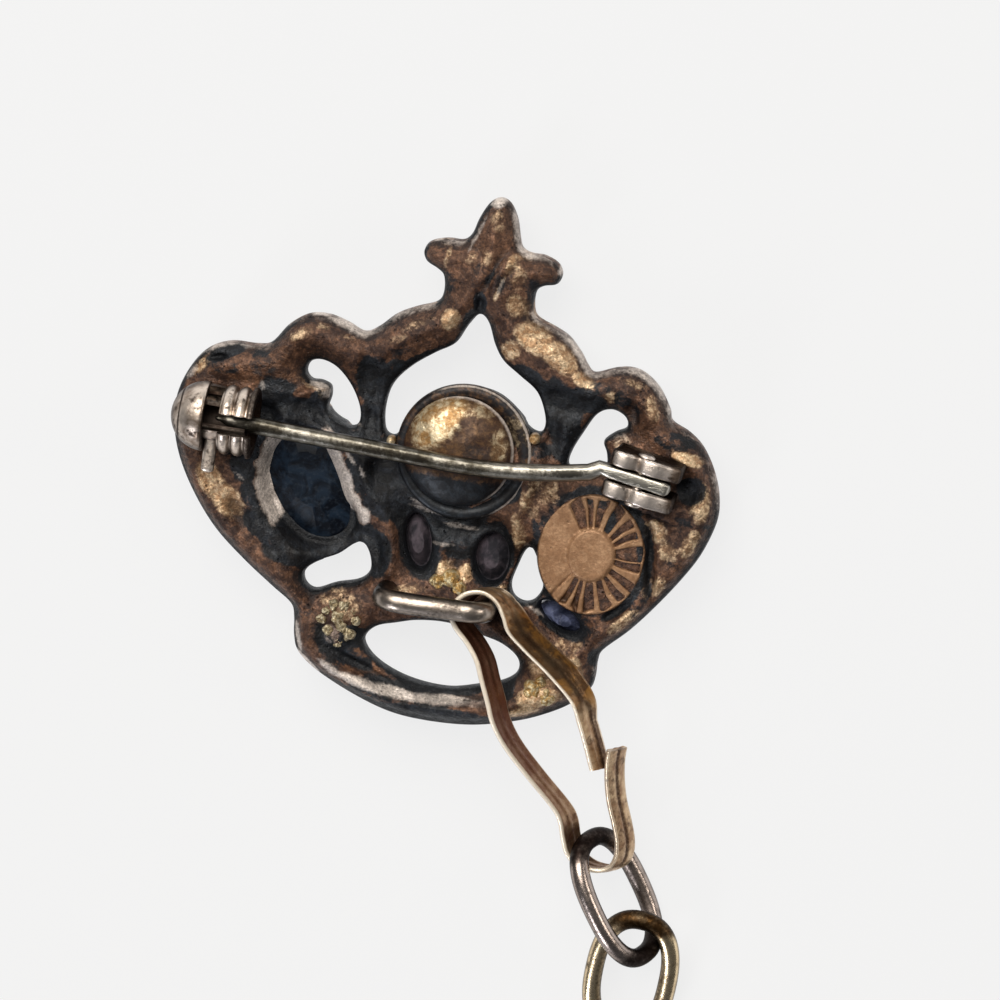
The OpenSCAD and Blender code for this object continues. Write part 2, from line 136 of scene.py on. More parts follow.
# ellipse-shaped spot: 1 in its middle, falling smoothly to 0 over the last part of its radius
def spot(x, y, cx, cy, along, across, turn, soft=0.7):
    c, s = math.cos(math.radians(turn)), math.sin(math.radians(turn))
    u, v = (c * (x - cx) + s * (y - cy)) / along, (c * (y - cy) - s * (x - cx)) / across
    return smoothStep(1 - np.sqrt(u * u + v * v), 0, soft)


# quads of a grid of rows and columns, joined round in either direction
def gridQuads(rows, cols, wrapRows=False, wrapCols=False):
    i = np.arange(rows if wrapRows else rows - 1)[:, None]
    j = np.arange(cols if wrapCols else cols - 1)[None, :]
    i2, j2 = (i + 1) % rows, (j + 1) % cols
    q = np.stack(np.broadcast_arrays(i * cols + j, i2 * cols + j, i2 * cols + j2, i * cols + j2), -1)
    return q.reshape(-1, 4)


# the same faces, all turned over if the volume that they enclose comes out negative
def outward(points, faces):
    volume = 0.0
    for size in set(map(len, faces)):
        p = points[np.array([face for face in faces if len(face) == size])]
        volume += (p[:, :1] * np.cross(p[:, 1:-1], p[:, 2:])).sum()
    return faces if volume > 0 else [face[::-1] for face in faces]


# points and faces of a grid whose rows are closed loops, with caps unless the rows close too
def tube(grid, closed=False):
    rows, cols = grid.shape[:2]
    faces = gridQuads(rows, cols, wrapRows=closed, wrapCols=True).tolist()
    if not closed:
        faces += [list(range(cols))[::-1], list(range((rows - 1) * cols, rows * cols))]
    points = grid.reshape(-1, 3)
    return points, outward(points, faces)


# points and faces of rings round a top point, closed by one face under the last ring
def mound(rings, top):
    rows, cols = rings.shape[:2]
    faces = gridQuads(rows, cols, wrapCols=True).tolist()
    faces += [[rows * cols, j, (j + 1) % cols] for j in range(cols)]
    faces += [list(range((rows - 1) * cols, rows * cols))[::-1]]
    return np.vstack([rings.reshape(-1, 3), top]), faces


# the mean of each point's four neighbours on a grid
def blurred(grid):
    return (np.roll(grid, 1, 0) + np.roll(grid, -1, 0) + np.roll(grid, 1, 1) + np.roll(grid, -1, 1)) / 4


# a new object in the scene
def addObject(name, data):
    thing = bpy.data.objects.new(name, data)
    bpy.context.scene.collection.objects.link(thing)
    return thing


# one piece from points in millimetres, faces and per-point values
def makePiece(name, points, faces, values):
    mesh = bpy.data.meshes.new(name)
    mesh.from_pydata(((np.asarray(points, float) + frameAt) * 0.001).tolist(), [], faces)
    mesh.polygons.foreach_set("use_smooth", np.ones(len(mesh.polygons), bool))
    for key, data in values.items():
        layer = mesh.attributes.new(key, "FLOAT", "POINT")
        layer.data.foreach_set("value", np.asarray(data, np.float32).ravel())
    mesh.validate()
    mesh.update()
    return addObject(name, mesh)


# gives a piece its material, the body that it rides on and the node that it replaces
def dress(piece, body, node, material):
    piece.data.materials.append(bpy.data.materials[material])
    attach(piece, body)
    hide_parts(node)


# rounded oblong with half sizes a and b: both coordinates are powers of cosine and sine
def oblong(count, a, b, power):
    t = np.arange(count) * 2 * np.pi / count
    c, s = np.cos(t), np.sin(t)
    e = 2.0 / power
    return np.stack([a * np.sign(c) * np.abs(c) ** e, b * np.sign(s) * np.abs(s) ** e], -1)


# a closed outline carried along a path: point = path + u * side + v * up, ends joined, flat or rounded over
def sweep(path, outlines, upHint, closed=False, endRound=0.0):
    outlines = np.broadcast_to(outlines, (len(path),) + outlines.shape[-2:])
    if closed:
        tangent = np.roll(path, -1, 0) - np.roll(path, 1, 0)
    else:
        tangent = np.gradient(path, axis=0)
    tangent /= np.linalg.norm(tangent, axis=1, keepdims=True)
    side = np.cross(tangent, upHint)
    side /= np.linalg.norm(side, axis=1, keepdims=True)
    up = np.cross(side, tangent)
    if endRound > 0:
        steps = 5
        turn = np.radians(np.linspace(90, 90 / steps, steps))
        push, size = np.sin(turn)[:, None], np.cos(turn)[:, None, None]
        size[0] = 0.12  # a small flat at the very end
        head, tail = path[0] - tangent[0] * endRound * push, path[-1] + tangent[-1] * endRound * push[::-1]
        path = np.vstack([head, path, tail])
        outlines = np.concatenate([outlines[:1] * size, outlines, outlines[-1:] * size[::-1]])
        side, up = (v[np.clip(np.arange(-steps, len(v) + steps), 0, len(v) - 1)] for v in (side, up))
    u, v = outlines[:, :, :1], outlines[:, :, 1:]
    return tube(path[:, None] + u * side[:, None] + v * up[:, None], closed)


# a profile of (along, radius) turned about an axis, its first and last points on the axis
def turned(profile, centre, axis, steps):
    axis = np.asarray(axis, float) / np.linalg.norm(axis)
    side = np.cross(axis, [0.0, 0.0, 1.0] if abs(axis[2]) < 0.9 else [1.0, 0.0, 0.0])
    side /= np.linalg.norm(side)
    up = np.cross(axis, side)
    t = np.arange(steps) * 2 * np.pi / steps
    ring = np.cos(t)[:, None] * side + np.sin(t)[:, None] * up
    p = np.asarray(profile, float)
    grid = centre + p[1:-1, None, :1] * axis + p[1:-1, None, 1:] * ring[None]
    rows = len(p) - 2
    points = np.vstack([grid.reshape(-1, 3), centre + p[0, 0] * axis, centre + p[-1, 0] * axis])
    faces = gridQuads(rows, steps, wrapCols=True).tolist()
    a, b, last = rows * steps, rows * steps + 1, (rows - 1) * steps
    faces += [[a, j, (j + 1) % steps] for j in range(steps)]
    faces += [[b, last + (j + 1) % steps, last + j] for j in range(steps)]
    return points, outward(points, faces)


# rounds the corners of an open or closed chain of (x, y) points by cutting every corner twice
def cornerCut(points, closed=True):
    p, share = np.asarray(points, float), 0.25
    for _ in range(2):
        q = np.roll(p, -1, 0) if closed else p[1:]
        a = p if closed else p[:-1]
        new = np.stack([a * (1 - share) + q * share, a * share + q * (1 - share)], 1).reshape(-1, 2)
        p = new if closed else np.vstack([p[:1], new, p[-1:]])
    return p


# a flat plate of any outline, carried through it and drawn in by a quarter circle at both faces
def plate(p, lowSide, highSide, bevel, place):
    unit = lambda v: v / np.linalg.norm(v, axis=1, keepdims=True)
    along = unit(unit(np.roll(p, -1, 0) - p) + unit(p - np.roll(p, 1, 0)))
    inward = np.stack([-along[:, 1], along[:, 0]], -1)  # the outline runs counterclockwise
    turn = np.linspace(0, np.pi / 2, 5)
    inset, rise = bevel * (1 - np.sin(turn)), bevel * (1 - np.cos(turn))
    inset = np.concatenate([inset, inset[::-1]])[:, None]
    depth = np.concatenate([lowSide + rise, highSide - rise[::-1]])[:, None]
    u, v = (p[:, k] + inward[:, k] * inset for k in (0, 1))
    return tube(place(u, v, depth + 0 * u))


# several shapes as one: the points one after another, the faces renumbered
def joined(*parts):
    points, faces, start = [], [], 0
    for p, f in parts:
        points.append(p)
        faces += [[i + start for i in face] for face in f]
        start += len(p)
    return np.vstack(points), faces


# The cast crown: a grid over its outline, two-sided, with a rounded wall at every edge
casting = {
    "gridStep": 0.11,
    "gridX": [-15.1, 13.2],
    "gridY": [-13.8, 13.5],
    "backLevel": 3.36,  # plain back, before swell, ridges and hollows
    "frontLevel": 1.4,
    "wallTop": 2.9,  # where the rounded wall meets the back
    "wallFoot": 1.8,
    "wallRows": 4,
    "edgeWidth": 0.8,  # how far in the back rounds over
    "frontEdgeWidth": 0.6,
    "swell": 0.2,
    "bulge": 0.08,  # how far the wall stands out
    "ledge": 0.72,  # how much shallower the left funnel is on its ledge
    "roughPatches": [[0, -3.1, 3.8, 1.3, 0, 1], [-5.2, -9.1, 1.5, 1.2, -50, 1]],  # spots of strength 1
    "frontSeat": {"at": [-7.6, -2.2], "half": [2.2, 3.2], "turn": 30},  # the left stone's seat on the front
    "collar": [0.36, 0.72, 0.95],  # from and to this far outside that seat, at this level
    "seatFloor": 2.32,
    "bosses": [[-0.05, 0.42, 3.2], [6.95, -3.62, 2.7]],  # under the cup and the plaque: x, y, radius
    "frontRidge": [0.9, 0.16],  # half width and height of the first ridges on the front
    "seatRoom": [0.42, 0.05],  # room round the left stone and round the small ones, on the front
    "leastThickness": 0.08,
    # rims that face this way get a painted highlight, the others painted shade
    "lightWay": [0.4, 0.92],  # the way that the pale rims face
    "reliefSteps": 18,
    "reliefSize": 0.09,  # height that counts as full relief
}
# stones' seats: middle, half width and height, turn, width and depth of the funnel towards the back
seats = {
    "left": {"at": [-7.35, -2.75], "half": [1.0, 1.0], "turn": 0, "funnel": [1.0, 0.95], "points": 72},
    "smallLeft": {"at": [-1.78, -4.42], "half": [0.64, 1.38], "turn": 13},
    "smallRight": {"at": [2.02, -4.67], "half": [0.84, 1.24], "turn": 4},
    "corner": {"at": [5.8, -7.06], "half": [0.5, 1.16], "turn": -118},
}
smallSeats = [seats[name] for name in ("smallLeft", "smallRight", "corner")]
for seat in smallSeats:
    seat.update({"funnel": [0.1, 0.12], "points": 40})
# the left seat's rim isn't an ellipse: its radius at every 30 degrees, and about the mean of them
leftRim = [1.48, 1.3, 1.5, 2.25, 2.6, 2.29, 1.97, 1.83, 1.9, 2.25, 2.55, 2.25]
leftMean = 1.9
# raised lines over the back: half width, height, then their points
ridges = [
    [1.0, 0.26, [[-12.6, 3.0], [-10.6, 3.4], [-9.4, 4.6], [-8.0, 5.2], [-6.6, 4.9], [-5.6, 4.7],
                 [-4.6, 5.3], [-3.2, 6.2], [-1.9, 6.8], [-1.0, 7.8]]],
    [0.95, 0.24, [[0.5, 8.2], [1.4, 6.8], [2.6, 6.2], [3.9, 5.8], [5.0, 5.0], [6.2, 4.7], [7.6, 4.9],
                  [8.7, 4.2], [9.3, 3.2], [10.8, 2.2], [11.9, 0.6], [12.2, -1.0], [11.6, -2.9]]],
    [0.85, 0.26, [[-13.9, -1.0], [-13.3, -3.0], [-12.0, -4.7], [-10.2, -6.0], [-8.4, -7.3], [-7.2, -8.6]]],
    [0.95, 0.36, [[-6.7, -9.4], [-6.3, -10.6], [-4.6, -11.7], [-2.6, -12.25], [0, -12.45], [2.5, -12.3],
                  [4.6, -11.7], [6.6, -10.5]]],
    [0.8, 0.2, [[11.2, -4.0], [9.9, -5.7], [8.6, -7.2], [7.4, -8.3], [6.9, -9.6]]],
    [0.6, 0.2, [[-0.15, 12.2], [-0.1, 10.6], [-0.3, 9.4], [-0.9, 8.4]]],
    [0.45, 0.26, [[1.2, 10.3], [0.6, 9.6], [0.35, 8.7], [0.4, 7.9]]],
    [0.5, 0.16, [[-3.0, 9.8], [-1.8, 9.8], [-0.8, 9.9]]],
    [0.5, 0.16, [[3.0, 9.7], [2.0, 9.7], [1.2, 10.0]]],
    [0.4, 0.28, [[-8.7, 1.9], [-8.0, 2.35], [-7.4, 2.3], [-7.15, 1.8]]],
    [0.35, 0.3, [[10.3, 1.85], [10.9, 1.7], [11.5, 1.25], [11.8, 0.9]]],
    [0.35, 0.18, [[-4.9, -0.9], [-4.5, -2.3], [-3.6, -3.0], [-2.9, -4.6], [-2.9, -6.2]]],
    [0.55, 0.22, [[3.6, 0.1], [3.3, -1.2], [2.9, -2.6], [3.0, -3.8]]],
]
# hollows in the back: x, y, half length, half width, turn, depth
hollows = [
    [-5.2, 2.9, 2.3, 0.85, 100, 0.42], [-4.9, 0.9, 1.2, 0.7, 90, 0.4],
    [4.5, 3.5, 1.7, 1.1, -10, 0.42], [4.2, 1.6, 0.7, 1.5, 0, 0.4],
    [-8.0, 1.2, 2.2, 0.8, -12, 0.45], [-10.2, 0.7, 1.1, 0.9, 0, 0.4],
    [-12.9, 3.15, 0.75, 0.28, 15, 0.5], [7.95, 3.5, 0.6, 0.9, 10, 0.3],
    [0.0, -3.3, 4.2, 1.2, 0, 0.42], [-3.9, -1.0, 1.2, 1.3, 0, 0.35],
    [-4.1, -4.9, 1.1, 1.5, 10, 0.45], [0.2, -5.0, 0.8, 1.1, 0, 0.4],
    [3.3, -5.3, 0.5, 1.3, 5, 0.3], [11.2, 0.15, 1.05, 1.0, 0, 0.5],
    [-0.35, 7.75, 0.3, 0.5, 0, 0.35], [-3.2, -11.35, 3.4, 0.55, -24, 0.35],
    [1.6, -11.9, 2.6, 0.4, 8, 0.25], [9.95, -3.7, 0.4, 2.9, 8, 0.45],
    [8.6, -6.3, 1.2, 0.4, 40, 0.4], [-10.9, -4.3, 0.8, 1.3, 40, 0.3],
    [-11.6, -0.8, 0.9, 0.9, 0, 0.35], [4.0, -7.3, 1.1, 0.5, -30, 0.3],
    [-1.8, -7.4, 3.0, 0.4, 0, 0.2], [9.6, -1.3, 2.2, 0.12, -12, 0.25],
]
# spots of worn gilt and painted sheen, of dark tarnish and painted shade, and of pale rubbed metal and
# painted highlights: x, y, half length, half width, turn, strength
giltAndSheenSpots = [
    [2.67, 6.61, 1.3, 1.0, -27, 1.0], [4.05, 5.8, 1.4, 0.85, -30, 1.0], [1.53, 5.74, 0.65, 0.7, -42, 1.0],
    [5.34, 4.87, 0.8, 0.45, -22, 0.9], [1.99, 7.83, 0.7, 1.1, 78, 0.6], [0.99, 9.91, 0.3, 0.9, -4, 0.5],
    [0.6, 8.74, 0.15, 0.9, -14, 0.6], [1.58, 10.4, 0.7, 0.35, -7, 0.7], [1.41, 8.05, 0.45, 0.7, 8, 0.7],
    [-2.22, 9.76, 0.15, 1.3, -6, 0.4], [-1.6, 6.82, 0.6, 0.7, 8, 0.8], [-3.11, 6.41, 1.3, 0.3, 32, 0.16],
    [-4.09, 5.46, 0.8, 0.3, 28, 0.12], [-2.53, 7.34, 1.0, 0.15, 30, 0.35],
    [-6.48, 5.23, 0.8, 0.3, -12, 0.14], [-8.97, 4.98, 1.0, 0.4, 28, 0.2], [-7.79, 5.55, 1.1, 0.25, 3, 0.2],
    [-13.89, 2.67, 0.85, 0.55, 58, 0.8], [-8.04, 2.68, 1.0, 0.4, -7, 1.0],
    [-7.38, 2.27, 0.45, 0.65, 8, 1.0], [-8.31, 3.86, 0.8, 0.3, 28, 0.35],
    [-12.41, -2.88, 1.3, 0.75, -54, 1.2], [-11.48, -3.76, 1.45, 0.8, -47, 1.2],
    [-10.67, -4.45, 0.75, 0.45, -42, 0.5], [-7.82, -6.07, 0.9, 0.35, -42, 0.35],
    [-12.65, -4.73, 0.5, 1.0, 33, 0.25], [-12.86, -1.48, 0.4, 0.6, 8, 0.3],
    [-5.22, -7.32, 1.3, 0.3, 20, 0.5], [-4.7, -8.16, 0.9, 0.9, 8, 0.4], [-5.66, -7.79, 1.0, 0.45, 18, 0.4],
    [-0.16, -5.6, 0.8, 0.7, 8, 1.0], [0.89, -5.55, 0.6, 0.6, 8, 1.0], [-2.0, -6.87, 1.3, 0.45, 18, 0.4],
    [2.69, -6.11, 0.9, 0.35, 3, 0.5], [5.4, -11.03, 1.4, 0.7, 13, 1.0], [4.92, -11.95, 1.2, 0.4, 16, 0.7],
    [5.46, -9.66, 1.1, 1.3, 28, 0.7], [6.92, -9.3, 0.5, 1.1, 28, 0.55], [4.03, -8.45, 0.9, 0.6, -22, 0.7],
    [6.5, -8.1, 1.1, 0.7, 28, 0.45], [11.07, 1.83, 1.2, 0.35, -12, 1.0], [11.97, -0.26, 0.8, 1.3, 8, 0.4],
    [9.93, -1.96, 0.75, 0.8, 8, 0.85], [10.71, -2.86, 0.6, 0.9, 28, 0.5],
    [11.75, -2.31, 1.0, 0.6, 68, 0.35], [10.33, -4.78, 0.9, 0.7, 58, 0.4], [9.09, -6.72, 1.3, 0.6, 48, 0.3],
    [6.9, 4.18, 0.5, 0.45, 8, 0.55], [7.96, 5.24, 1.3, 0.5, -7, 0.25], [8.93, 4.11, 0.5, 1.0, 18, 0.3],
    [7.59, 2.15, 0.8, 0.5, 8, 0.3], [4.22, -0.84, 0.9, 1.1, 68, 0.5], [3.3, -3.25, 0.5, 1.5, 18, 0.5],
    [3.58, -1.69, 0.7, 1.0, 38, 0.45], [0.15, 11.96, 0.7, 0.9, 8, 0.16], [-0.68, 9.98, 1.1, 0.7, 18, 0.16],
    [-2.66, 10.41, 0.6, 0.35, 8, 0.4], [1.32, 9.35, 0.7, 0.9, 8, 0.4],
]
darkSpots = [
    [-4.98, 3.16, 1.2, 1.7, 13, 1.0], [-4.9, 1.16, 0.9, 1.3, 8, 1.0], [-2.85, 4.57, 1.8, 0.35, 30, 0.8],
    [-4.18, 3.93, 0.8, 0.5, 48, 0.7], [-3.92, 4.98, 0.7, 0.4, 28, 0.4], [4.41, 3.22, 1.3, 2.0, 20, 1.0],
    [2.59, 4.63, 1.1, 0.55, -17, 0.9], [5.58, 3.89, 1.3, 0.8, -12, 0.95], [5.07, 1.39, 1.0, 1.1, 8, 1.0],
    [6.23, 4.59, 0.8, 0.35, -2, 0.7], [7.39, 4.25, 0.6, 0.6, 8, 0.65], [3.58, 3.71, 0.7, 1.3, 28, 0.9],
    [-8.91, 0.95, 2.6, 1.2, 0, 1.0], [-9.79, 1.83, 1.2, 1.1, 8, 0.85], [-10.31, 0.9, 0.7, 1.3, 8, 1.0],
    [-6.88, 0.88, 1.3, 0.8, -17, 1.0], [-7.62, 1.83, 0.6, 0.7, 8, 0.9], [-11.05, -1.73, 0.7, 1.3, 8, 0.95],
    [-11.85, -1.08, 0.7, 0.6, 8, 0.9], [-10.41, -3.41, 0.5, 1.0, 28, 0.8],
    [-9.53, -4.7, 1.3, 0.9, -27, 0.9], [-8.72, -5.79, 1.3, 0.6, -37, 0.7],
    [-7.42, -6.02, 2.3, 0.7, 0, 0.95], [-12.54, 3.46, 1.1, 0.35, 20, 1.0],
    [-12.61, 2.85, 1.2, 0.5, -2, 0.6], [-10.64, 3.23, 1.0, 0.8, 8, 0.45], [-11.15, 4.32, 1.0, 0.4, 8, 0.3],
    [-4.48, -1.06, 1.7, 1.8, 8, 1.0], [-2.89, -2.35, 2.3, 1.6, 8, 1.0], [-5.3, -4.96, 1.3, 0.8, 28, 0.95],
    [-3.69, -5.29, 1.0, 1.5, 8, 1.0], [-1.01, -1.38, 3.0, 1.1, 3, 1.0], [-0.77, -3.06, 3.0, 1.2, 8, 0.95],
    [-1.26, -4.95, 1.0, 1.6, 8, 0.95], [2.23, -4.26, 1.2, 1.8, 8, 1.0], [2.24, -1.12, 1.1, 0.8, 8, 0.95],
    [0.64, -4.12, 2.0, 1.0, 8, 0.85], [-5.0, 0.13, 1.5, 0.6, -2, 0.9], [3.71, 1.0, 0.6, 0.5, 8, 0.6],
    [-0.62, -7.69, 3.5, 0.35, 2, 0.95], [-1.32, -10.61, 3.3, 0.6, -14, 1.0],
    [-4.39, -9.63, 0.8, 0.8, -42, 0.9], [-4.25, -10.62, 1.5, 0.45, -22, 0.8],
    [1.01, -11.39, 1.8, 0.4, 4, 0.9], [-6.0, -9.65, 0.5, 0.9, 38, 0.55], [-7.06, -8.59, 0.7, 0.6, 8, 0.4],
    [1.55, -8.79, 0.6, 1.0, -22, 0.6], [3.64, -7.49, 0.9, 0.4, -22, 0.7], [0.09, -12.74, 4.0, 0.6, 2, 0.95],
    [-1.62, -12.12, 3.8, 0.8, -5, 0.62], [-3.02, -12.16, 2.0, 0.45, -18, 0.75],
    [-5.28, -10.51, 0.7, 1.3, 38, 0.6], [3.63, -11.03, 0.6, 0.8, 8, 0.7], [7.56, -8.45, 0.4, 1.0, 28, 0.45],
    [11.49, 0.28, 0.9, 0.9, 8, 1.0], [10.16, 2.51, 1.3, 0.5, -7, 0.6], [8.3, 4.27, 0.4, 1.0, 3, 0.35],
    [7.65, -1.88, 0.5, 0.8, 8, 0.75], [9.5, -3.23, 0.35, 1.9, 16, 0.85], [9.69, -5.63, 0.4, 1.2, -22, 0.6],
    [7.01, -0.96, 1.0, 0.45, -2, 0.5], [5.07, 0.28, 2.0, 0.3, 8, 0.5], [11.0, -3.43, 0.5, 0.8, 8, 0.3],
    [11.61, -1.32, 1.3, 0.25, -7, 0.5], [4.32, -3.36, 0.3, 1.5, 23, 0.7], [5.53, -6.21, 1.0, 0.4, -32, 0.7],
    [7.44, -7.56, 1.2, 0.4, 28, 0.45], [4.34, -5.27, 0.8, 0.5, -42, 1.0], [-0.28, 7.86, 0.45, 0.65, 8, 1.0],
    [0.57, 8.99, 0.25, 0.9, 0, 0.55], [-0.25, 9.38, 0.7, 0.7, 8, 0.35], [-0.68, 7.05, 0.4, 0.7, -17, 0.6],
    [2.09, 8.95, 0.5, 0.8, 8, 0.35], [-1.91, 8.64, 0.4, 0.7, 8, 0.3],
]
paleSpots = [
    [-7.72, 2.58, 0.75, 0.35, -10, 0.75], [-7.31, 2.18, 0.3, 0.4, 8, 0.6], [-8.11, 6.06, 1.7, 0.2, 4, 0.95],
    [-9.77, 5.27, 0.7, 0.2, 46, 0.6], [-6.57, 5.87, 0.7, 0.2, -27, 0.6], [-4.18, 6.86, 1.7, 0.2, 32, 0.95],
    [-2.68, 7.68, 0.7, 0.15, 28, 0.6], [-12.27, 4.06, 1.2, 0.15, 16, 0.45],
    [-14.14, 2.23, 0.6, 0.25, 58, 0.55], [-2.84, 10.63, 0.8, 0.25, 23, 0.8],
    [-0.12, 12.78, 0.6, 0.4, 8, 0.8], [0.91, 11.92, 0.2, 1.0, 22, 0.55], [3.18, 10.52, 0.7, 0.2, -30, 0.9],
    [3.47, 9.91, 0.25, 0.45, 8, 0.7], [-0.93, 11.05, 0.15, 1.5, -20, 0.45],
    [0.6, 8.74, 0.15, 0.8, -14, 0.45], [8.99, 5.13, 0.2, 1.2, 30, 0.75], [9.77, 3.87, 0.2, 0.8, 20, 0.6],
    [11.84, 2.75, 0.2, 1.0, 40, 0.55], [12.53, 1.08, 0.15, 1.5, 16, 0.5], [7.11, 5.57, 1.3, 0.15, 8, 0.3],
    [4.7, 6.54, 0.2, 1.3, 44, 0.45], [-4.64, -3.5, 0.55, 0.65, 8, 0.85], [-6.15, 1.13, 1.2, 0.2, -20, 0.85],
    [-5.64, -0.72, 0.7, 0.15, -47, 0.7], [-4.95, -1.33, 0.5, 0.15, -62, 0.6],
    [-11.05, -2.49, 0.6, 0.1, -37, 0.4], [-6.95, 1.37, 0.2, 0.5, -7, 0.6],
    [-10.49, 2.14, 0.2, 0.5, 18, 0.3], [-1.32, -2.73, 1.5, 0.25, -6, 0.5],
    [0.28, -3.32, 1.3, 0.2, -2, 0.42], [-0.59, -4.3, 1.1, 0.15, 2, 0.35],
    [-1.97, -2.42, 0.8, 0.2, -22, 0.4], [7.59, 2.15, 0.7, 0.5, 8, 0.25],
    [-5.16, -11.3, 1.1, 0.3, -30, 0.75], [-3.69, -11.75, 1.7, 0.35, -16, 0.9],
    [-1.84, -12.0, 2.1, 0.35, -5, 0.85], [0.49, -12.02, 2.4, 0.35, 3, 0.65],
    [2.69, -11.87, 1.4, 0.25, 8, 0.4], [-6.37, -11.32, 1.3, 0.2, -40, 1.0],
    [-7.06, -10.0, 0.2, 1.1, 18, 0.8], [-5.41, -9.57, 0.6, 0.8, 28, 0.25], [-2.4, -7.63, 0.8, 0.2, 18, 0.3],
    [4.84, -7.02, 1.3, 0.15, -24, 0.55],
]


# signed distance to the nearest edge (positive in the metal), that edge point, the way in from it, and
# whether it belongs to the first loop, which is the outline; the other loops are holes
def edgeField(x, y, loops):
    a = np.vstack(loops)
    b = np.vstack([np.roll(loop, -1, 0) for loop in loops])
    turn = []
    for k, loop in enumerate(loops):
        q = np.roll(loop, -1, 0)
        area = (loop[:, 0] * q[:, 1] - q[:, 0] * loop[:, 1]).sum()
        turn.append(np.full(len(loop), np.sign(area) * (1 if k == 0 else -1)))
    e = b - a
    ee = (e * e).sum(1)
    inward = np.stack([-e[:, 1], e[:, 0]], -1) * (np.concatenate(turn) / np.sqrt(ee))[:, None]
    ax, ay, ex, ey, by = (v.astype(np.float32)[None] for v in (a[:, 0], a[:, 1], e[:, 0], e[:, 1], b[:, 1]))
    rise = np.where(np.abs(ey) < 1e-9, 1e-9, ey)
    dist, near, way = np.zeros(len(x)), np.zeros((len(x), 2)), np.zeros((len(x), 2))
    first = np.zeros(len(x), bool)
    block = 2500  # points at a time, to keep the arrays small
    for k in range(0, len(x), block):
        part = slice(k, k + block)
        px, py = (v[part, None].astype(np.float32) for v in (x, y))
        t = np.clip(((px - ax) * ex + (py - ay) * ey) / ee[None].astype(np.float32), 0, 1)
        qx, qy = ax + t * ex, ay + t * ey
        dd = (px - qx) ** 2 + (py - qy) ** 2
        best = dd.argmin(1)
        row = np.arange(len(best))
        crossings = (((ay > py) != (by > py)) & (px < ax + (py - ay) * ex / rise)).sum(1)
        dist[part] = np.sqrt(dd[row, best]) * np.where(crossings % 2 == 1, 1, -1)
        near[part] = np.stack([qx[row, best], qy[row, best]], -1)
        way[part] = inward[best]
        first[part] = best < len(loops[0])
    return dist, near, way, first


# distance from points to an open chain of points, as the least of the distances to its segments
def lineDistance(x, y, chain):
    a, e = chain[:-1], np.diff(chain, axis=0)
    dx, dy = x[:, None] - a[:, 0], y[:, None] - a[:, 1]
    t = np.clip((dx * e[:, 0] + dy * e[:, 1]) / (e * e).sum(1), 0, 1)
    return np.sqrt(((dx - t * e[:, 0]) ** 2 + (dy - t * e[:, 1]) ** 2).min(1))


# a ridge over a chain of points: (1 - q squared) squared, with q the distance as a share of its half width
def ridge(x, y, chain, halfWidth):
    q = np.clip(lineDistance(x, y, chain) / halfWidth, 0, 1)
    return (1 - q * q) ** 2


# radius of the left seat's rim by angle: the sum of the waves that pass through all its given radii
def rimRadius(angle):
    waves = np.fft.rfft(leftRim) / len(leftRim)
    waves[1:-1] *= 2
    k = np.arange(len(waves)).reshape((-1,) + (1,) * np.ndim(angle))
    return (waves.reshape(k.shape) * np.exp(1j * k * angle)).real.sum(0)


# how far out points lie from a seat's middle: 1 on its edge
def seatRadius(x, y, seat, grow=0.0):
    c, s = math.cos(math.radians(seat["turn"])), math.sin(math.radians(seat["turn"]))
    dx, dy = x - seat["at"][0], y - seat["at"][1] * kY
    if seat is seats["left"]:
        return np.hypot(dx, dy) / rimRadius(np.arctan2(dy, dx))
    wide, high = seat["half"]
    return np.hypot((c * dx + s * dy) / (wide + grow), (c * dy - s * dx) / (high + grow))


# about how many millimetres points lie outside a seat's edge
def seatReach(x, y, seat):
    return (seatRadius(x, y, seat) - 1) * (leftMean if seat is seats["left"] else min(seat["half"]))


# a seat's edge as a closed loop of points
def seatLoop(seat):
    t = np.arange(seat["points"]) * 2 * np.pi / seat["points"]
    c, s = math.cos(math.radians(seat["turn"])), math.sin(math.radians(seat["turn"]))
    u, v = seat["half"][0] * np.cos(t), seat["half"][1] * np.sin(t)
    if seat is seats["left"]:
        u, v = u * rimRadius(t), v * rimRadius(t)
    return np.stack([seat["at"][0] + c * u - s * v, seat["at"][1] * kY + s * u + c * v], -1)


# 1 over the part of the left seat's rim that is a ledge, 0 elsewhere, by the angle round the seat from -Y
def onLedge(x, y):
    at = seats["left"]["at"]
    around = (np.degrees(np.arctan2(y - at[1] * kY, x - at[0])) + 90) % 360
    return smoothStep(around, 64, 84) * (1 - smoothStep(around, 165, 184))


# the strongest of several spots at every point
def sumSpots(x, y, spots, soft):
    total = np.zeros(len(x))
    for cx, cy, along, across, turn, strength in spots:
        total = np.maximum(total, strength * spot(x, y, cx, cy * kY, along, across, turn, soft))
    return total


# height of a face that rounds over near the edge: from edge to plain by 1 - (1 - t) squared
def roundedFace(d, edge, plain, width):
    t = np.clip(d / width, 0, 1)
    return edge + (plain - edge) * (1 - (1 - t) ** 2)


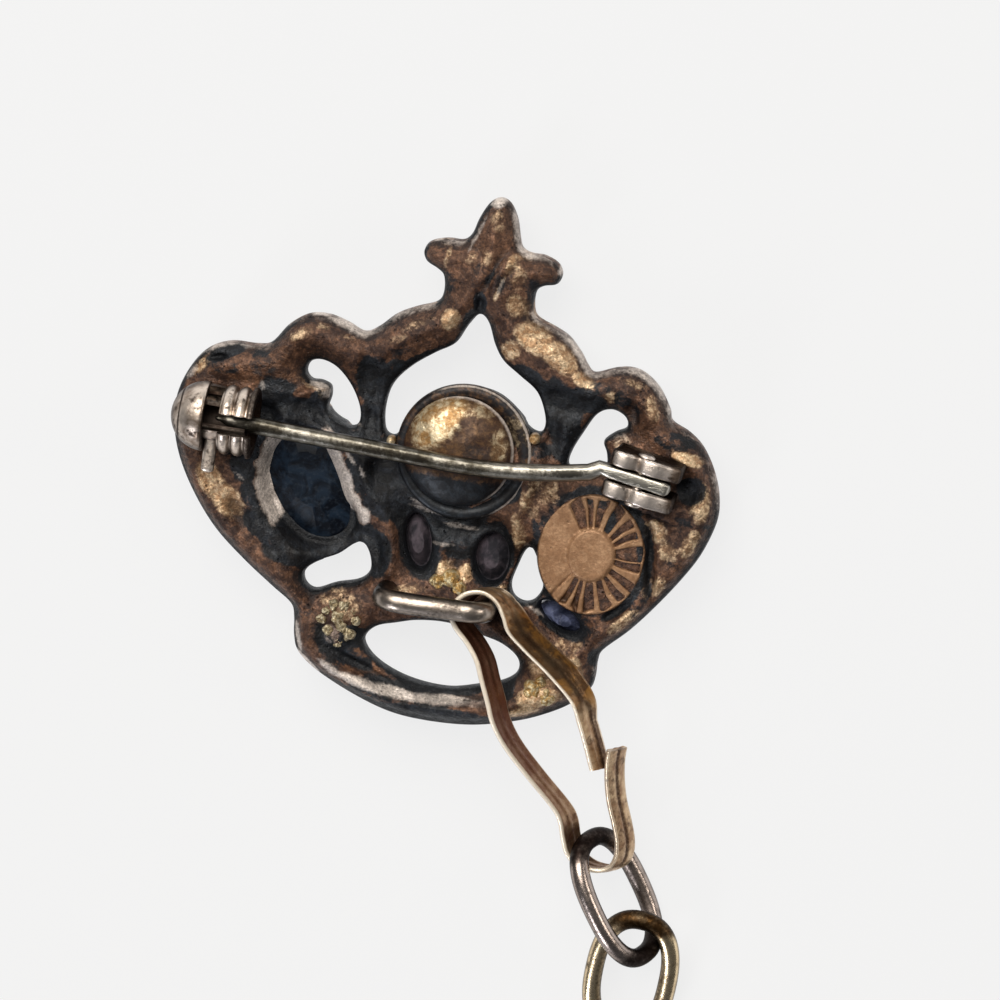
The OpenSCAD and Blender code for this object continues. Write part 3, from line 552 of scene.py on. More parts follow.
# back of the casting: edge rounding + swell + ridges - hollows + roughness - funnels round the stones
def backHeight(x, y, d):
    c = casting
    z = roundedFace(d, c["wallTop"], c["backLevel"], c["edgeWidth"])
    z += c["swell"] * smoothStep(d, 0.3, 1.5)
    near = smoothStep(d, 0.0, 0.5)
    raised = np.zeros(len(x))
    for halfWidth, height, points in ridges:
        raised = np.maximum(raised, height * ridge(x, y, smoothLine(drawn(points), 4), halfWidth))
    z += raised * near
    for cx, cy, along, across, turn, depth in hollows:
        z -= depth * spot(x, y, cx, cy * kY, along, across, turn, 0.75) * near
    z += near * (0.05 * softNoise(x, y, 0.75, 3) + 0.035 * softNoise(x, y, 0.33, 5))
    z += 0.1 * sumSpots(x, y, c["roughPatches"], 0.7) * softNoise(x, y, 0.3, 9)
    for seat in seats.values():
        outside = seatReach(x, y, seat)
        width, depth = seat["funnel"]
        deep = depth * (1 - smoothStep(outside, 0.0, width)) * smoothStep(1.35 - outside, 0, 0.1)
        z -= deep * (1 - c["ledge"] * onLedge(x, y)) if seat is seats["left"] else deep
    return z, raised


# front of the casting: plain, edges rounded, room for the stones, low bosses to lie on
def frontHeight(x, y, d):
    c = casting
    z = roundedFace(d, c["wallFoot"], c["frontLevel"], c["frontEdgeWidth"])
    halfWidth, height = c["frontRidge"]
    for row in ridges[:4]:
        z -= height * ridge(x, y, smoothLine(drawn(row[-1]), 3), halfWidth) * smoothStep(d, 0.0, 0.5)
    for cx, cy, radius in c["bosses"]:
        q = np.hypot(x - cx, y - cy * kY) / radius
        boss = 0.02 + 1.3 * (1 - np.sqrt(np.clip(1 - np.clip(q, 0, 1) ** 3, 0, 1)))
        z = np.where(q < 1, np.minimum(z, boss), z)
    seat, (fromEdge, toEdge, level) = c["frontSeat"], c["collar"]
    collar = (seatRadius(x, y, seat) - 1) * seat["half"][0]
    z = np.where((collar > fromEdge) & (collar < toEdge), level, z)
    z = np.where(seatRadius(x, y, seat, c["seatRoom"][0]) < 1, c["seatFloor"], z)
    for seat in smallSeats:
        z = np.where(seatRadius(x, y, seat, c["seatRoom"][1]) < 1, c["seatFloor"], z)
    return z


# the values at the four corners of every cell of a grid
def corners(v):
    return v[:-1, :-1], v[1:, :-1], v[:-1, 1:], v[1:, 1:]


# the grid over the crown with its border drawn to the edge: its faces, and for every point its place, its
# depth from the edge, the way in, whether it is on the border and whether the outline is nearest
def castGrid():
    c = casting
    loops = [smoothLoop(drawn(crownOutline), 6)] + [smoothLoop(drawn(p), 5) for p in openings.values()]
    loops += [seatLoop(seat) for seat in seats.values()]
    gx, gy = (np.arange(*c[key], c["gridStep"]) for key in ("gridX", "gridY"))
    x, y = (v.ravel() for v in np.meshgrid(gx, gy, indexing="ij"))
    shape = (len(gx), len(gy))
    d, near, way, first = edgeField(x, y, loops)
    kept = sum(corners(d.reshape(shape))) > 0
    for _ in range(3):  # cells that touch only at a corner are joined
        parts = corners(kept)
        a, b, e, f = parts
        pinched = (a & f & ~b & ~e) | (~a & ~f & b & e)
        for part in parts:
            part |= pinched
    around = sum(corners(np.pad(kept, 1).astype(int)))
    used, border = (around > 0).ravel(), ((around > 0) & (around < 4)).ravel()
    at = np.stack([x, y], -1)
    at[border] = near[border] + way[border] * c["bulge"]
    at = at.reshape(shape + (2,))
    inner = (used & ~border).reshape(shape)
    for _ in range(3):  # evens out the points next to the edge
        at = np.where(inner[..., None], blurred(at), at)
    at = at.reshape(-1, 2)
    close = used & (np.abs(d) < 0.6)
    d[close] = edgeField(at[close, 0], at[close, 1], loops)[0]
    depth = np.maximum(d[used] - c["bulge"], 0)
    depth[border[used]] = 0
    place = np.full(len(x), -1)
    place[used] = np.arange(used.sum())
    return {"shape": shape, "used": used, "faces": place[gridQuads(*shape)[kept.ravel()]], "at": at[used],
            "depth": depth, "way": way[used], "border": border[used], "first": first[used]}


# relief: height above the mean of the patch around, for rubbed crests and dirty hollows
def castRelief(grid, back):
    c, used = casting, grid["used"]
    sheet, weight = np.zeros(len(used)), used.astype(float)
    sheet[used] = back
    sheet, weight = sheet.reshape(grid["shape"]), weight.reshape(grid["shape"])
    for _ in range(c["reliefSteps"]):
        sheet, weight = blurred(sheet), blurred(weight)
    return np.clip((back - (sheet / np.maximum(weight, 1e-6)).ravel()[used]) / c["reliefSize"], -1, 1)


# rounded wall: rows between the two border rings, pushed out by a power of the sine; its points and faces
def castWall(grid, back, front):
    c, count, top = casting, len(back), grid["faces"]
    edges = np.concatenate([top[:, [k, (k + 1) % 4]] for k in range(4)])
    both = edges[:, 0] * count + edges[:, 1]
    lone = edges[~np.isin(both, edges[:, 1] * count + edges[:, 0])]
    rim = np.flatnonzero(grid["border"])
    ring = np.full(count, -1)
    ring[rim] = np.arange(len(rim))
    rows, points, faces = c["wallRows"], [], []
    for k in range(1, rows):
        s = k / rows
        out = grid["at"][rim] - grid["way"][rim] * c["bulge"] * math.sin(math.pi * s) ** 0.7
        points.append(np.column_stack([out, back[rim] * (1 - s) + front[rim] * s]))
    index = [lone] + [2 * count + k * len(rim) + ring[lone] for k in range(rows - 1)] + [lone + count]
    for high, low in zip(index[:-1], index[1:]):
        faces.append(np.stack([high[:, 0], low[:, 0], low[:, 1], high[:, 1]], -1))
    return points, faces


# colour masks: the spots of the tables, then what follows from the shape; the points on the back come
# first, then those on the front and on the wall
def castMasks(grid, points, raised):
    c, depth = casting, grid["depth"]
    count = len(depth)
    onBack, onFront, onWall = slice(count), slice(count, 2 * count), slice(2 * count, None)
    x, y = points[:, 0], points[:, 1]
    px, py = x[onBack], y[onBack]
    gilt, pale = (sumSpots(x, y, spots, 0.6) for spots in (giltAndSheenSpots, paleSpots))
    dark = sumSpots(x, y, darkSpots, 0.4)
    gilt[onBack] = np.clip(gilt[onBack] * (1 + raised), 0, 1)
    # a painted highlight along the outline's edges that face the lamps; painted shade along the other edges
    # and on the walls that face away
    facing = -(grid["way"] @ c["lightWay"])  # above 0 for edges that look up in the picture
    lit = smoothStep(facing, 0.1, 0.75) * grid["first"]
    paintedRimLight = np.clip(0.45 + 0.5 * softNoise(px, py, 1.7, 51), 0, 1)
    paintedRimLight = paintedRimLight * (1 - smoothStep(depth, 0.0, 0.3)) * lit
    pale[onBack] = np.maximum(pale[onBack], paintedRimLight * (1 - dark[onBack]))
    dark[onBack] = np.maximum(dark[onBack], 0.4 * (1 - smoothStep(depth, 0.0, 0.2)) * (1 - lit))
    wallLit = np.tile(lit[grid["border"]], c["wallRows"] - 1)
    patches = 0.3 + 0.6 * softNoise(x[onWall], y[onWall], 1.7, 51)
    pale[onWall] = np.maximum(pale[onWall] * wallLit, wallLit * patches)
    dark[onWall] = np.maximum(dark[onWall], 0.8) * (1 - wallLit)
    # the left funnel: a painted highlight as a pale crescent on its left wall and as a thin bright strip on
    # the ledge at its right, and painted shade over the rest of the funnel
    reach, (middleX, middleY) = seatReach(px, py, seats["left"]), seats["left"]["at"]
    around = np.degrees(np.arctan2(py - middleY * kY, px - middleX)) % 360
    crescent = smoothStep(reach, 0.0, 0.1) * (1 - smoothStep(reach, 0.7, 1.05))
    crescent = crescent * smoothStep(around, 112, 130) * (1 - smoothStep(around, 222, 236))
    strip = smoothStep(reach, -0.08, 0.02) * (1 - smoothStep(reach, 0.95, 1.5)) * onLedge(px, py)
    funnel = np.maximum(crescent * 1.05, strip * 1.2) + 0.5 * softNoise(px, py, 0.35, 77)
    funnel = np.clip(funnel, 0, 1) * np.maximum(crescent, strip) ** 0.5
    pale[onBack] = np.maximum(pale[onBack], funnel)
    far = smoothStep(reach, -0.1, 0.1) * (1 - smoothStep(reach, 1.2, 1.6)) * (1 - funnel)
    dark[onBack] = np.maximum(dark[onBack] * (1 - funnel), far * (pale[onBack] < 0.3))
    # painted shade round the rims of the small seats
    for seat in smallSeats:
        lip = seatReach(px, py, seat)
        dark[onBack] = np.maximum(dark[onBack], 0.7 * (1 - smoothStep(lip, 0.05, 0.4)))
    # a darker ring round the plaque's foot, most of it above and at its right
    dx, dy = px - plaque["at"][0], py - plaque["at"][1] * kY
    rim = np.hypot(dx / plaque["halfWidth"], dy / plaque["halfHeight"])
    darkening = smoothStep(rim, 0.9, 1.0) * (1 - smoothStep(rim, 1.05, 1.15))
    darkening = darkening * (0.45 + 0.5 * smoothStep(dx + 0.6 * dy, -1.5, 1.5))
    dark[onBack] = np.maximum(dark[onBack], darkening)
    # the front, unseen in the photo: broad patches of worn gilt, dirt along the openings' edges
    gilt[onFront] = np.clip(0.12 + 0.55 * softNoise(px, py, 2.4, 33), 0.05, 1)
    dark[onFront] = 0.5 * (1 - smoothStep(depth, 0.1, 0.6)) * (1 - gilt[onFront])
    pale[onFront] *= 0.3
    return {"gilt": gilt, "dark": dark, "pale": pale}


# back and front over the same grid, joined by the rounded wall
def makeCasting():
    grid = castGrid()
    count, (px, py) = len(grid["at"]), grid["at"].T
    back, raised = backHeight(px, py, grid["depth"])
    front = frontHeight(px, py, grid["depth"])
    back = np.maximum(back, front + casting["leastThickness"])
    wall, wallFaces = castWall(grid, back, front)
    points = np.vstack([np.column_stack([px, py, back]), np.column_stack([px, py, front])] + wall)
    faces = np.concatenate([grid["faces"], (grid["faces"] + count)[:, ::-1]] + wallFaces)
    masks = castMasks(grid, points, raised)
    masks["relief"] = np.concatenate([castRelief(grid, back), np.zeros(len(points) - count)])
    report("casting: " + str(len(points)) + " points")
    return makePiece("castCrown", points, faces.tolist(), masks)


# Back of the centre cup: a ring, a groove and a beaten dome
cup = {
    "at": [-0.05, 0.42],
    "ringRadius": 3.42,
    "ringLevel": 3.72,
    "domeAt": [-0.3, 0.46],
    "domeRadius": 2.72,
    "domeTop": 4.78,
    "steps": 128,
    # worn gilt on the dome and a painted highlight at its upper left: spots as in the tables above, in the
    # tables' own y
    "gilt": [[-1.5, 1.9, 2.0, 1.3, 50, 1.3], [-0.2, 2.7, 2.4, 0.6, 0, 0.4], [1.7, 0.9, 0.7, 1.5, 0, 0.45],
             [-2.2, 0.3, 0.7, 1.2, 0, 0.2]],
}


# profile turned about Z, then dented by low noise so that it isn't a perfect ball
def makeCup():
    c = cup
    r, z = c["ringRadius"], c["ringLevel"]
    ring = [[footLevel, 0], [footLevel, r - 0.25], [2.98, r - 0.1], [3.15, r], [z - 0.3, r],
            [z - 0.12, r - 0.07], [z - 0.02, r - 0.2], [z, r - 0.36], [z - 0.05, r - 0.52],
            [z - 0.2, r - 0.7], [z - 0.3, r - 0.85], [z - 0.32, r - 1.3], [z - 0.32, 0]]
    base = turned(cornerCut(ring, closed=False), drawn(c["at"] + [0]), [0, 0, 1], c["steps"])
    a, h = c["domeRadius"], c["domeTop"] - z - 0.05
    s = np.linspace(0, 1, 26)[:-1]
    bell = np.stack([z + 0.05 + h * (1 - s ** 2.6) ** 0.62, a * s], -1)
    lip = [[z + 0.06, a], [z - 0.02, a + 0.05], [z - 0.12, a + 0.04], [z - 0.3, a - 0.02],
           [z - 0.42, a - 0.1], [z - 0.42, 0]]
    dome = turned(np.vstack([bell, lip])[::-1], drawn(c["domeAt"] + [0]), [0, 0, 1], c["steps"])
    x, y, level = dome[0].T
    dents = 0.07 * softNoise(x, y, 1.3, 12) + 0.03 * softNoise(x, y, 0.5, 13)
    dome[0][:, 2] += smoothStep(level, z, z + 0.4) * dents
    points, faces = joined(base, dome)
    onDome = np.concatenate([np.zeros(len(base[0])), np.ones(len(dome[0]))])
    x, y, level = points[:, 0], points[:, 1] / kY, points[:, 2]
    gilt = onDome * np.clip(sum((share * spot(x, y, *place) for *place, share in c["gilt"]), 0.04), 0, 1)
    gilt = np.maximum(gilt, (1 - onDome) * 0.5 * spot(x, y, 2.6, 1.9, 1.6, 1.2, -40))
    # painted shade over the dome's lower part, under the pin; a darker spot in the middle and a darker ring
    dark = 0.95 * smoothStep(-y, 0.35, 1.25) + 0.25 * spot(x, y, 0.3, 0.6, 1.8, 0.9, 0) + (1 - onDome) * 0.4
    dark = np.clip(dark, 0, 1)
    fromDome, fromRing = (np.hypot(x - q[0], y - q[1]) for q in (c["domeAt"], c["at"]))
    # a painted highlight along the dome's lip and the ring's edge, on their upper right
    right = smoothStep(x + 0.6 * y, -0.8, 1.2)
    domeEdge = 0.95 * onDome * smoothStep(fromDome, 2.6, 2.72) * (level > z - 0.1) * right
    ringEdge = (1 - onDome) * 0.8 * smoothStep(fromRing, 3.2, 3.3) * right * (level > z - 0.2)
    pale = np.clip(domeEdge + ringEdge, 0, 1)
    return makePiece("cupBack", points, faces, {"gilt": gilt, "dark": dark, "pale": pale})


# Plaque that closes the right cup: smooth at the left, even flutes round its hub elsewhere
plaque = {
    "at": [6.95, -3.62],
    "halfWidth": 2.75,
    "halfHeight": 3.15,
    "level": 3.62,
    "hub": 0.43,
    "fluteDepth": 0.26,
    "fluteStep": 18.0,  # degrees between flutes
    "smoothFrom": 118.0,  # the smooth part, anticlockwise between these angles
    "smoothTo": 236.0,
    "rings": 56,
    "spokes": 300,
}


# height over a disc, by radius and angle: hub, flutes between it and the rim, a rounded edge
def makePlaque():
    c = plaque
    spokes = c["spokes"]
    r = np.linspace(0, 1, c["rings"])[1:, None]
    g = (np.arange(spokes) * 360 / spokes)[None, :]
    drift = 3.5 * softNoise(g / 22.0, g * 0, 1.0, 33) + 2.5 * softNoise(g / 9.0, r * 3, 1.0, 34)
    wave = np.cos(np.radians((g + drift) * 360 / c["fluteStep"]))
    arc = (g - c["smoothFrom"]) % 360
    span = (c["smoothTo"] - c["smoothFrom"]) % 360
    plain = smoothStep(arc, -0.1, 10) * (1 - smoothStep(arc, span - 10, span))
    plain = plain * smoothStep(r, 0.2, 0.5)
    reach = 0.88 + 0.05 * softNoise(g / 14.0, g * 0, 1.0, 35)
    body = smoothStep(r, c["hub"], c["hub"] + 0.05) * (1 - smoothStep(r, reach, reach + 0.07))
    cut = body * (1 - plain) * smoothStep(-wave, -0.55, 0.35)
    z = c["level"] - c["fluteDepth"] * cut
    z = z + 0.14 * (1 - smoothStep(r, c["hub"] - 0.05, c["hub"] + 0.02)) + 0 * g
    z = z - 0.5 * smoothStep(r, 0.94, 1.0) ** 2 + 0.05 * (1 - r * r)
    x = c["at"][0] + c["halfWidth"] * r * np.cos(np.radians(g)) * (1 + 0.006 * np.sin(np.radians(3 * g)))
    y = c["at"][1] * kY + c["halfHeight"] * r * np.sin(np.radians(g))
    z = z + 0.015 * softNoise(x, y, 0.6, 31)
    top = np.stack([x, y, z], -1)
    foot = top[-1:] * [1, 1, 0] + [0, 0, footLevel]
    points, faces = mound(np.vstack([top, foot]), drawn(c["at"] + [c["level"] + 0.19]))
    sunk = np.concatenate([cut.ravel(), np.zeros(spokes), [0]])
    edge = np.concatenate([(smoothStep(r, 0.9, 1.0) + 0 * g).ravel(), np.ones(spokes), [0]])
    return makePiece("plaqueDisc", points, faces, {"dark": np.clip(0.8 * sunk + 0.55 * edge, 0, 1)})


# Solder left on the back, in rows of x, y, radius, height and the level that it sits on
solder = {
    "lumps": [
        [0.15, -5.95, 0.5, 0.5, 3.35], [-0.45, -6.15, 0.42, 0.42, 3.35], [0.7, -6.3, 0.4, 0.4, 3.35],
        [5.0, -10.75, 0.5, 0.42, 3.5], [5.75, -11.0, 0.55, 0.45, 3.45], [5.4, -10.35, 0.36, 0.32, 3.5],
        [6.2, -10.5, 0.3, 0.3, 3.45]],
    "chips": [
        [-5.15, -8.75, 0.42, 0.36, 3.42], [-4.6, -9.45, 0.38, 0.36, 3.35], [-5.6, -9.4, 0.34, 0.32, 3.4],
        [-4.95, -8.15, 0.34, 0.3, 3.35], [-4.95, -9.15, 0.3, 0.34, 3.45], [-5.5, -8.15, 0.3, 0.26, 3.4],
        [-6.0, -8.9, 0.3, 0.28, 3.42], [-4.3, -8.75, 0.3, 0.26, 3.35], [-5.0, -10.0, 0.28, 0.26, 3.35],
        [-5.8, -8.5, 0.26, 0.26, 3.42], [-4.45, -8.3, 0.22, 0.22, 3.35]],
    "beads": [[3.35, 1.6, 0.3, 0.34, 3.4], [-3.75, 0.4, 0.26, 0.3, 3.3]],
    "roughness": {"lumps": 0.22, "chips": 0.3, "beads": 0.05},
    "seeds": {"lumps": 61, "chips": 171, "beads": 91},
}


# low domes by radius and angle, their radius and height broken up by noise
def makeLumps(name, kind):
    parts, rings, spokes = [], 10, 28
    rough, seed = solder["roughness"][kind], solder["seeds"][kind]
    for k, (cx, cy, radius, height, level) in enumerate(solder[kind]):
        r = np.linspace(0, 1, rings)[1:, None]
        g = (np.arange(spokes) * 2 * np.pi / spokes)[None, :]
        u, v = r * np.cos(g), r * np.sin(g)
        wide = radius * (1 + rough * softNoise(3 * np.cos(g), 3 * np.sin(g), 1.7, seed + k))
        high = height * (1 + 1.6 * rough * softNoise(u + 7 * k, v, 0.33, seed + 50 + k))
        z = level + high * (1 - r ** 2) ** 0.5 - 0.25 * smoothStep(r, 0.8, 1.0)
        top = np.stack([cx + wide * u, cy * kY + wide * v, z], -1)
        parts.append(mound(top, [cx, cy * kY, level + height]))
    points, faces = joined(*parts)
    one = np.ones(len(points))
    return makePiece(name, points, faces, {"gilt": one, "dark": one * 0, "pale": one * 0.1})


# Wire staple that the clip hangs on
bail = {
    "left": -2.9,
    "right": 2.25,
    "y": -6.96,
    "level": 5.85,
    "bend": 0.95,
    "wire": [0.55, 0.53],  # half width and half height
}


# an oblong outline carried along up, a quarter circle, across, a quarter circle and down
def makeBail():
    c = bail
    turn = np.radians(np.linspace(0, 90, 12))
    inward, down = c["bend"] * (1 - np.cos(turn)), c["bend"] * (1 - np.sin(turn))
    leg = np.linspace(footLevel, c["level"] - c["bend"], 8)[:-1]
    bar = np.linspace(c["left"] + c["bend"], c["right"] - c["bend"], 26)[1:-1]
    x = np.concatenate([0 * leg + c["left"], c["left"] + inward, bar, c["right"] - inward[::-1],
                        0 * leg + c["right"]])
    z = np.concatenate([leg, c["level"] - down, 0 * bar + c["level"], c["level"] - down[::-1], leg[::-1]])
    path = np.stack([x, c["y"] * kY + 0.035 * np.sin(x * 0.9), z], -1)
    sizes = 1 + 0.03 * softNoise(x, z, 0.9, 21)
    points, faces = sweep(path, oblong(28, *c["wire"], 2.25)[None] * sizes[:, None, None], [0, 1, 0])
    worn = smoothStep(points[:, 2], 4.6, 5.6)
    # darker low on the legs, at random, and towards the left end
    darkening = 0.3 * (1 - worn) + 0.25 + 0.45 * softNoise(points[:, 0], points[:, 1] * 2, 0.9, 23)
    darkening += 0.2 * (1 - smoothStep(points[:, 0], c["left"] - 0.3, c["left"] + 0.7))
    return makePiece("bailWire", points, faces, {"wear": 0.2 + 0.6 * worn, "dark": np.clip(darkening, 0, 1)})


# Clip: a fluted ribbon bent round the bail and the first link
clip = {
    "nearEdge": [
        [8.56, -14.14, 4.3], [8.09, -12.88, 4.6], [7.62, -11.72, 4.95], [7.08, -10.69, 5.15],
        [5.74, -9.53, 5.15], [4.44, -8.58, 5.15], [3.5, -7.8, 5.15], [3.15, -7.1, 5.15],
        [2.8, -6.5, 5.12], [2.35, -6.15, 5.1], [1.8, -6.02, 5.1], [1.15, -6.2, 5.08],
        [0.7, -6.65, 5.05], [0.52, -7.3, 5.05], [0.8, -7.95, 5.05], [1.5, -8.65, 5.05],
        [2.1, -9.45, 5.08], [2.5, -10.39, 5.1], [2.93, -11.39, 5.1], [3.35, -12.42, 5.05],
        [4.09, -13.58, 4.65], [5.35, -14.98, 4.1], [6.8, -16.5, 3.4], [7.25, -17.2, 3.15],
        [7.5, -18.1, 2.85], [7.85, -18.95, 2.65], [8.5, -19.45, 2.55], [9.4, -19.55, 2.55],
        [10.05, -19.25, 2.65], [10.3, -18.6, 2.8], [10.25, -17.8, 3.0], [9.97, -16.85, 3.25],
        [9.6, -15.8, 3.5], [9.36, -14.73, 3.8], [9.25, -13.7, 4.1], [9.27, -13.0, 4.3]],
    "across": [0.8, 0.05, -1.3],  # from the near edge to the far edge
    "flatAcross": [1.42, 0.42, -0.85],  # the same where the upper strand lies flatter
    "flatPart": [[0, 0], [2, 0], [4, 1], [6, 0.8], [8, 0], [35, 0]],  # how flat, by point of the near edge
    "thickness": 0.25,
    "flute": 0.07,  # depth of the groove along the middle of both faces
}


# the ribbon's outline, by position across it, carried along the near edge
def makeClip():
    c = clip
    edge = smoothLine(drawn(c["nearEdge"]), 6)
    part = np.linspace(0, len(c["nearEdge"]) - 1, len(edge))[:, None]  # along it, by point of the near edge
    flat = np.interp(part, *np.transpose(c["flatPart"]))
    across = np.array(c["across"]) * (1 - flat) + np.array(c["flatAcross"]) * flat
    wide = np.linalg.norm(c["across"])
    path = edge + across / 2
    ahead = np.gradient(path, axis=0)
    out = np.cross(across, ahead)
    out /= np.linalg.norm(out, axis=1, keepdims=True)
    count = 21  # points across each face, closer together towards the edges
    s = np.sin(np.linspace(-np.pi / 2, np.pi / 2, count))
    groove = -c["flute"] * np.exp(-(s / 0.2) ** 2)
    groove += 0.5 * c["flute"] * np.cos(s * np.pi) * (np.abs(s) < 0.9)
    half = c["thickness"] / 2 * np.sqrt(np.clip(1 - np.abs(s) ** 16, 0.02, 1))
    outline = np.vstack([np.stack([s * wide / 2, groove + half], -1),
                         np.stack([s * wide / 2, groove - half], -1)[::-1]])
    unit = across / wide
    points, faces = tube(path[:, None] + outline[:, :1] * unit[:, None] + outline[:, 1:] * out[:, None])
    # masks, by the place across the ribbon, -1 to 1, and the part along it; stripe is a soft line across
    place, inner = np.append(s, s[::-1]), (np.arange(2 * count) >= count) * 1.0
    stripe = lambda middle, width: np.exp(-((place - middle) / width) ** 2)
    tail, hook = 1 - smoothStep(part, 2.4, 3.4), smoothStep(part, 27, 29)
    amber = smoothStep(flat, 0.1, 0.6) + 0 * place
    # the edges rubbed and painted brighter as an edge highlight, less so on the hook and on the far side of
    # the flat part
    rubbedEdgeAndHighlight = smoothStep(np.abs(place), 0.84, 0.93) * (1 - 0.9 * amber * (place > 0)) * (1 - 0.55 * hook)
    outerGroove = stripe(-0.1, 0.42) * (1 - inner) + 0 * part
    inner = inner * (1 - 0.5 * smoothStep(part, 19.5, 23.0))
    # a dark line along both ends, the tail's far half and the hook's near half in shade
    line = stripe(0.3, 0.25) * tail + stripe(0.05, 0.25) * hook
    shade = 0.6 * smoothStep(place, -0.1, 0.4) * tail
    shade = np.maximum(shade, (0.2 + 0.25 * smoothStep(-place, 0.0, 0.5)) * hook)
    shade = np.maximum(shade, 0.8 * line) * (1 - rubbedEdgeAndHighlight)
    return makePiece("clipRibbon", points, faces,
                     {"inner": inner, "rubbedEdgeAndHighlight": rubbedEdgeAndHighlight, "groove": outerGroove, "amber": amber, "shade": shade})


# Wire links, each an oblong ring that leans on the ground
links = {
    "wire": 0.475,  # half its thickness
    "half": [1.9, 3.25],  # half width and half length, to the middle of the wire
    "fullness": 2.45,  # 2 is an ellipse, more is squarer
    # middle, how it leans, how it is turned, and the phase of the wire's small changes in thickness
    "first": {"at": [10.65, -20.8, 1.9 * math.sin(math.radians(54)) + 0.475],
              "lean": [0, 54, 0], "turn": 33, "phase": 0.5},
    "second": {"at": [11.9, -24.9, 3.25 * math.sin(math.radians(13)) + 0.475],
               "lean": [13, 0, 0], "turn": -4, "phase": 2.1},
}


# points turned about X, then Y, then Z
def rotate(points, angles):
    x, y, z = np.radians(angles)
    rx = np.array([[1, 0, 0], [0, math.cos(x), -math.sin(x)], [0, math.sin(x), math.cos(x)]])
    ry = np.array([[math.cos(y), 0, math.sin(y)], [0, 1, 0], [-math.sin(y), 0, math.cos(y)]])
    rz = np.array([[math.cos(z), -math.sin(z), 0], [math.sin(z), math.cos(z), 0], [0, 0, 1]])
    return points @ (rz @ ry @ rx).T


# a round wire along an oblong ring; the ring is a power curve of the two half lengths
def makeLink(name, where):
    c, count = links, 96
    ring = oblong(count, *c["half"], c["fullness"])
    step = np.linalg.norm(np.roll(ring, -1, 0) - ring, axis=1)
    along = np.concatenate([[0], np.cumsum(step)])
    even = np.linspace(0, along[-1], count + 1)[:-1]
    ring = np.stack([np.interp(even, along, np.append(v, v[0])) for v in ring.T], -1)
    size = 1 + 0.02 * np.sin(np.arange(count) * 2 * np.pi / count * 3 + where["phase"])
    outlines = oblong(26, c["wire"], c["wire"], 2.1)[None] * size[:, None, None]
    points, faces = sweep(np.column_stack([ring, np.zeros(count)]), outlines, [0, 0, 1], closed=True)
    ends = smoothStep(np.abs(points[:, 1]), 2.2, 3.1)
    inside = 1 - smoothStep(np.hypot(*(points[:, :2] / c["half"]).T), 0.88, 1.0)
    dark = np.clip(0.75 * ends + 0.6 * inside, 0, 1)
    points = rotate(rotate(points, where["lean"]), [0, 0, where["turn"]]) + drawn(where["at"])
    return makePiece(name, points, faces, {"wear": 0.75 - 0.4 * ends, "dark": dark})


# The pin: wire with a point, a straight run, a long bow and a flattened root in the hinge
pin = {
    "bowAt": [-1.0, 0.12],  # where the straight run ends and the bow begins
    "bowRadius": 30.0,
    "bowTurn": 15.5,  # degrees of the bow
    "runTurn": -2.1,  # the straight run's angle from +X
    "run": 11.4,  # from the bow to the very tip
    "point": 1.2,  # length of the point
    "tipRound": 0.28,
    "wire": 0.43,  # half its thickness
    "rivetAt": [8.95, 0.74, 5.4],
    "hingeTurn": -9.0,  # the root's angle from +X
    "rootWide": 0.72,
    # stations along the root, from the rivet
    "rootAt": [-2.02, -1.75, -1.5, -1.2, -0.9, -0.6, -0.3, 0.0, 0.3, 0.6, 0.9, 1.15, 1.3],
}


# the unit vector at an angle from +X, and the one a quarter turn on
def ways(degrees):
    a = math.radians(degrees)
    return np.array([math.cos(a), math.sin(a)]), np.array([-math.sin(a), math.cos(a)])


# stations of the wire from its point to the end of its root, each with its own width and height
def makePin():
    c, w = pin, pin["wire"]
    start, level = drawn(c["bowAt"]), c["rivetAt"][2]
    along, up = ways(c["runTurn"])
    tip = np.linspace(c["run"] - c["tipRound"], c["run"] - c["point"], 9)
    rest = np.linspace(c["run"] - c["point"], 0, 40)[1:]
    straight = start - along * np.append(tip, rest)[:, None]
    g = np.radians(np.linspace(0, c["bowTurn"], 26)[1:, None])
    bow = start + along * (c["bowRadius"] * np.sin(g)) + up * (c["bowRadius"] * (1 - np.cos(g)))
    t = np.array(c["rootAt"])
    root = drawn(c["rivetAt"][:2]) + ways(c["hingeTurn"])[0] * t[:, None]
    bow = bow[bow[:, 0] < root[0, 0] - 0.25]
    flat = np.vstack([straight, bow, root])
    # half sizes at the stations: the point, the round wire, the root's flat bar
    point = np.interp(np.linspace(0, 1, len(tip)), [0, 0.35, 1], [0.12, 0.27, w])
    size = np.concatenate([point, np.full(len(rest) + len(bow), w)])
    wide = np.concatenate([size, [0.4] + [c["rootWide"] / 2] * (len(t) - 1)])
    high = np.concatenate([size, [0.43, 0.46, 0.49] + [0.5] * (len(t) - 3)])
    power = np.concatenate([np.full(len(size), 2.0), np.linspace(2.2, 4.5, 5), np.full(len(t) - 5, 4.5)])
    outlines = np.stack([oblong(32, 1, 1, k) for k in power]) * np.stack([wide, high], -1)[:, None, :]
    path = np.column_stack([flat, np.full(len(flat), level)])
    points, faces = sweep(path, outlines, [0, 0, 1], endRound=c["tipRound"])
    rootPart = smoothStep(points[:, 0], root[0, 0] - 0.6, root[0, 0] + 0.3)
    # the dark line along the top is a painted reflection
    line = smoothStep(points[:, 2] - level, 0.8 * w, 0.97 * w) * (1 - rootPart)  # a dull line along its top
    line = line * (0.75 + 0.4 * softNoise(points[:, 0], points[:, 1], 1.1, 27))
    worn = 0.4 + 0.5 * smoothStep(points[:, 0], 0.0, 6.5)
    return makePiece("pinWire", points, faces, {"wear": worn, "dark": np.clip(0.9 * line, 0, 1)})


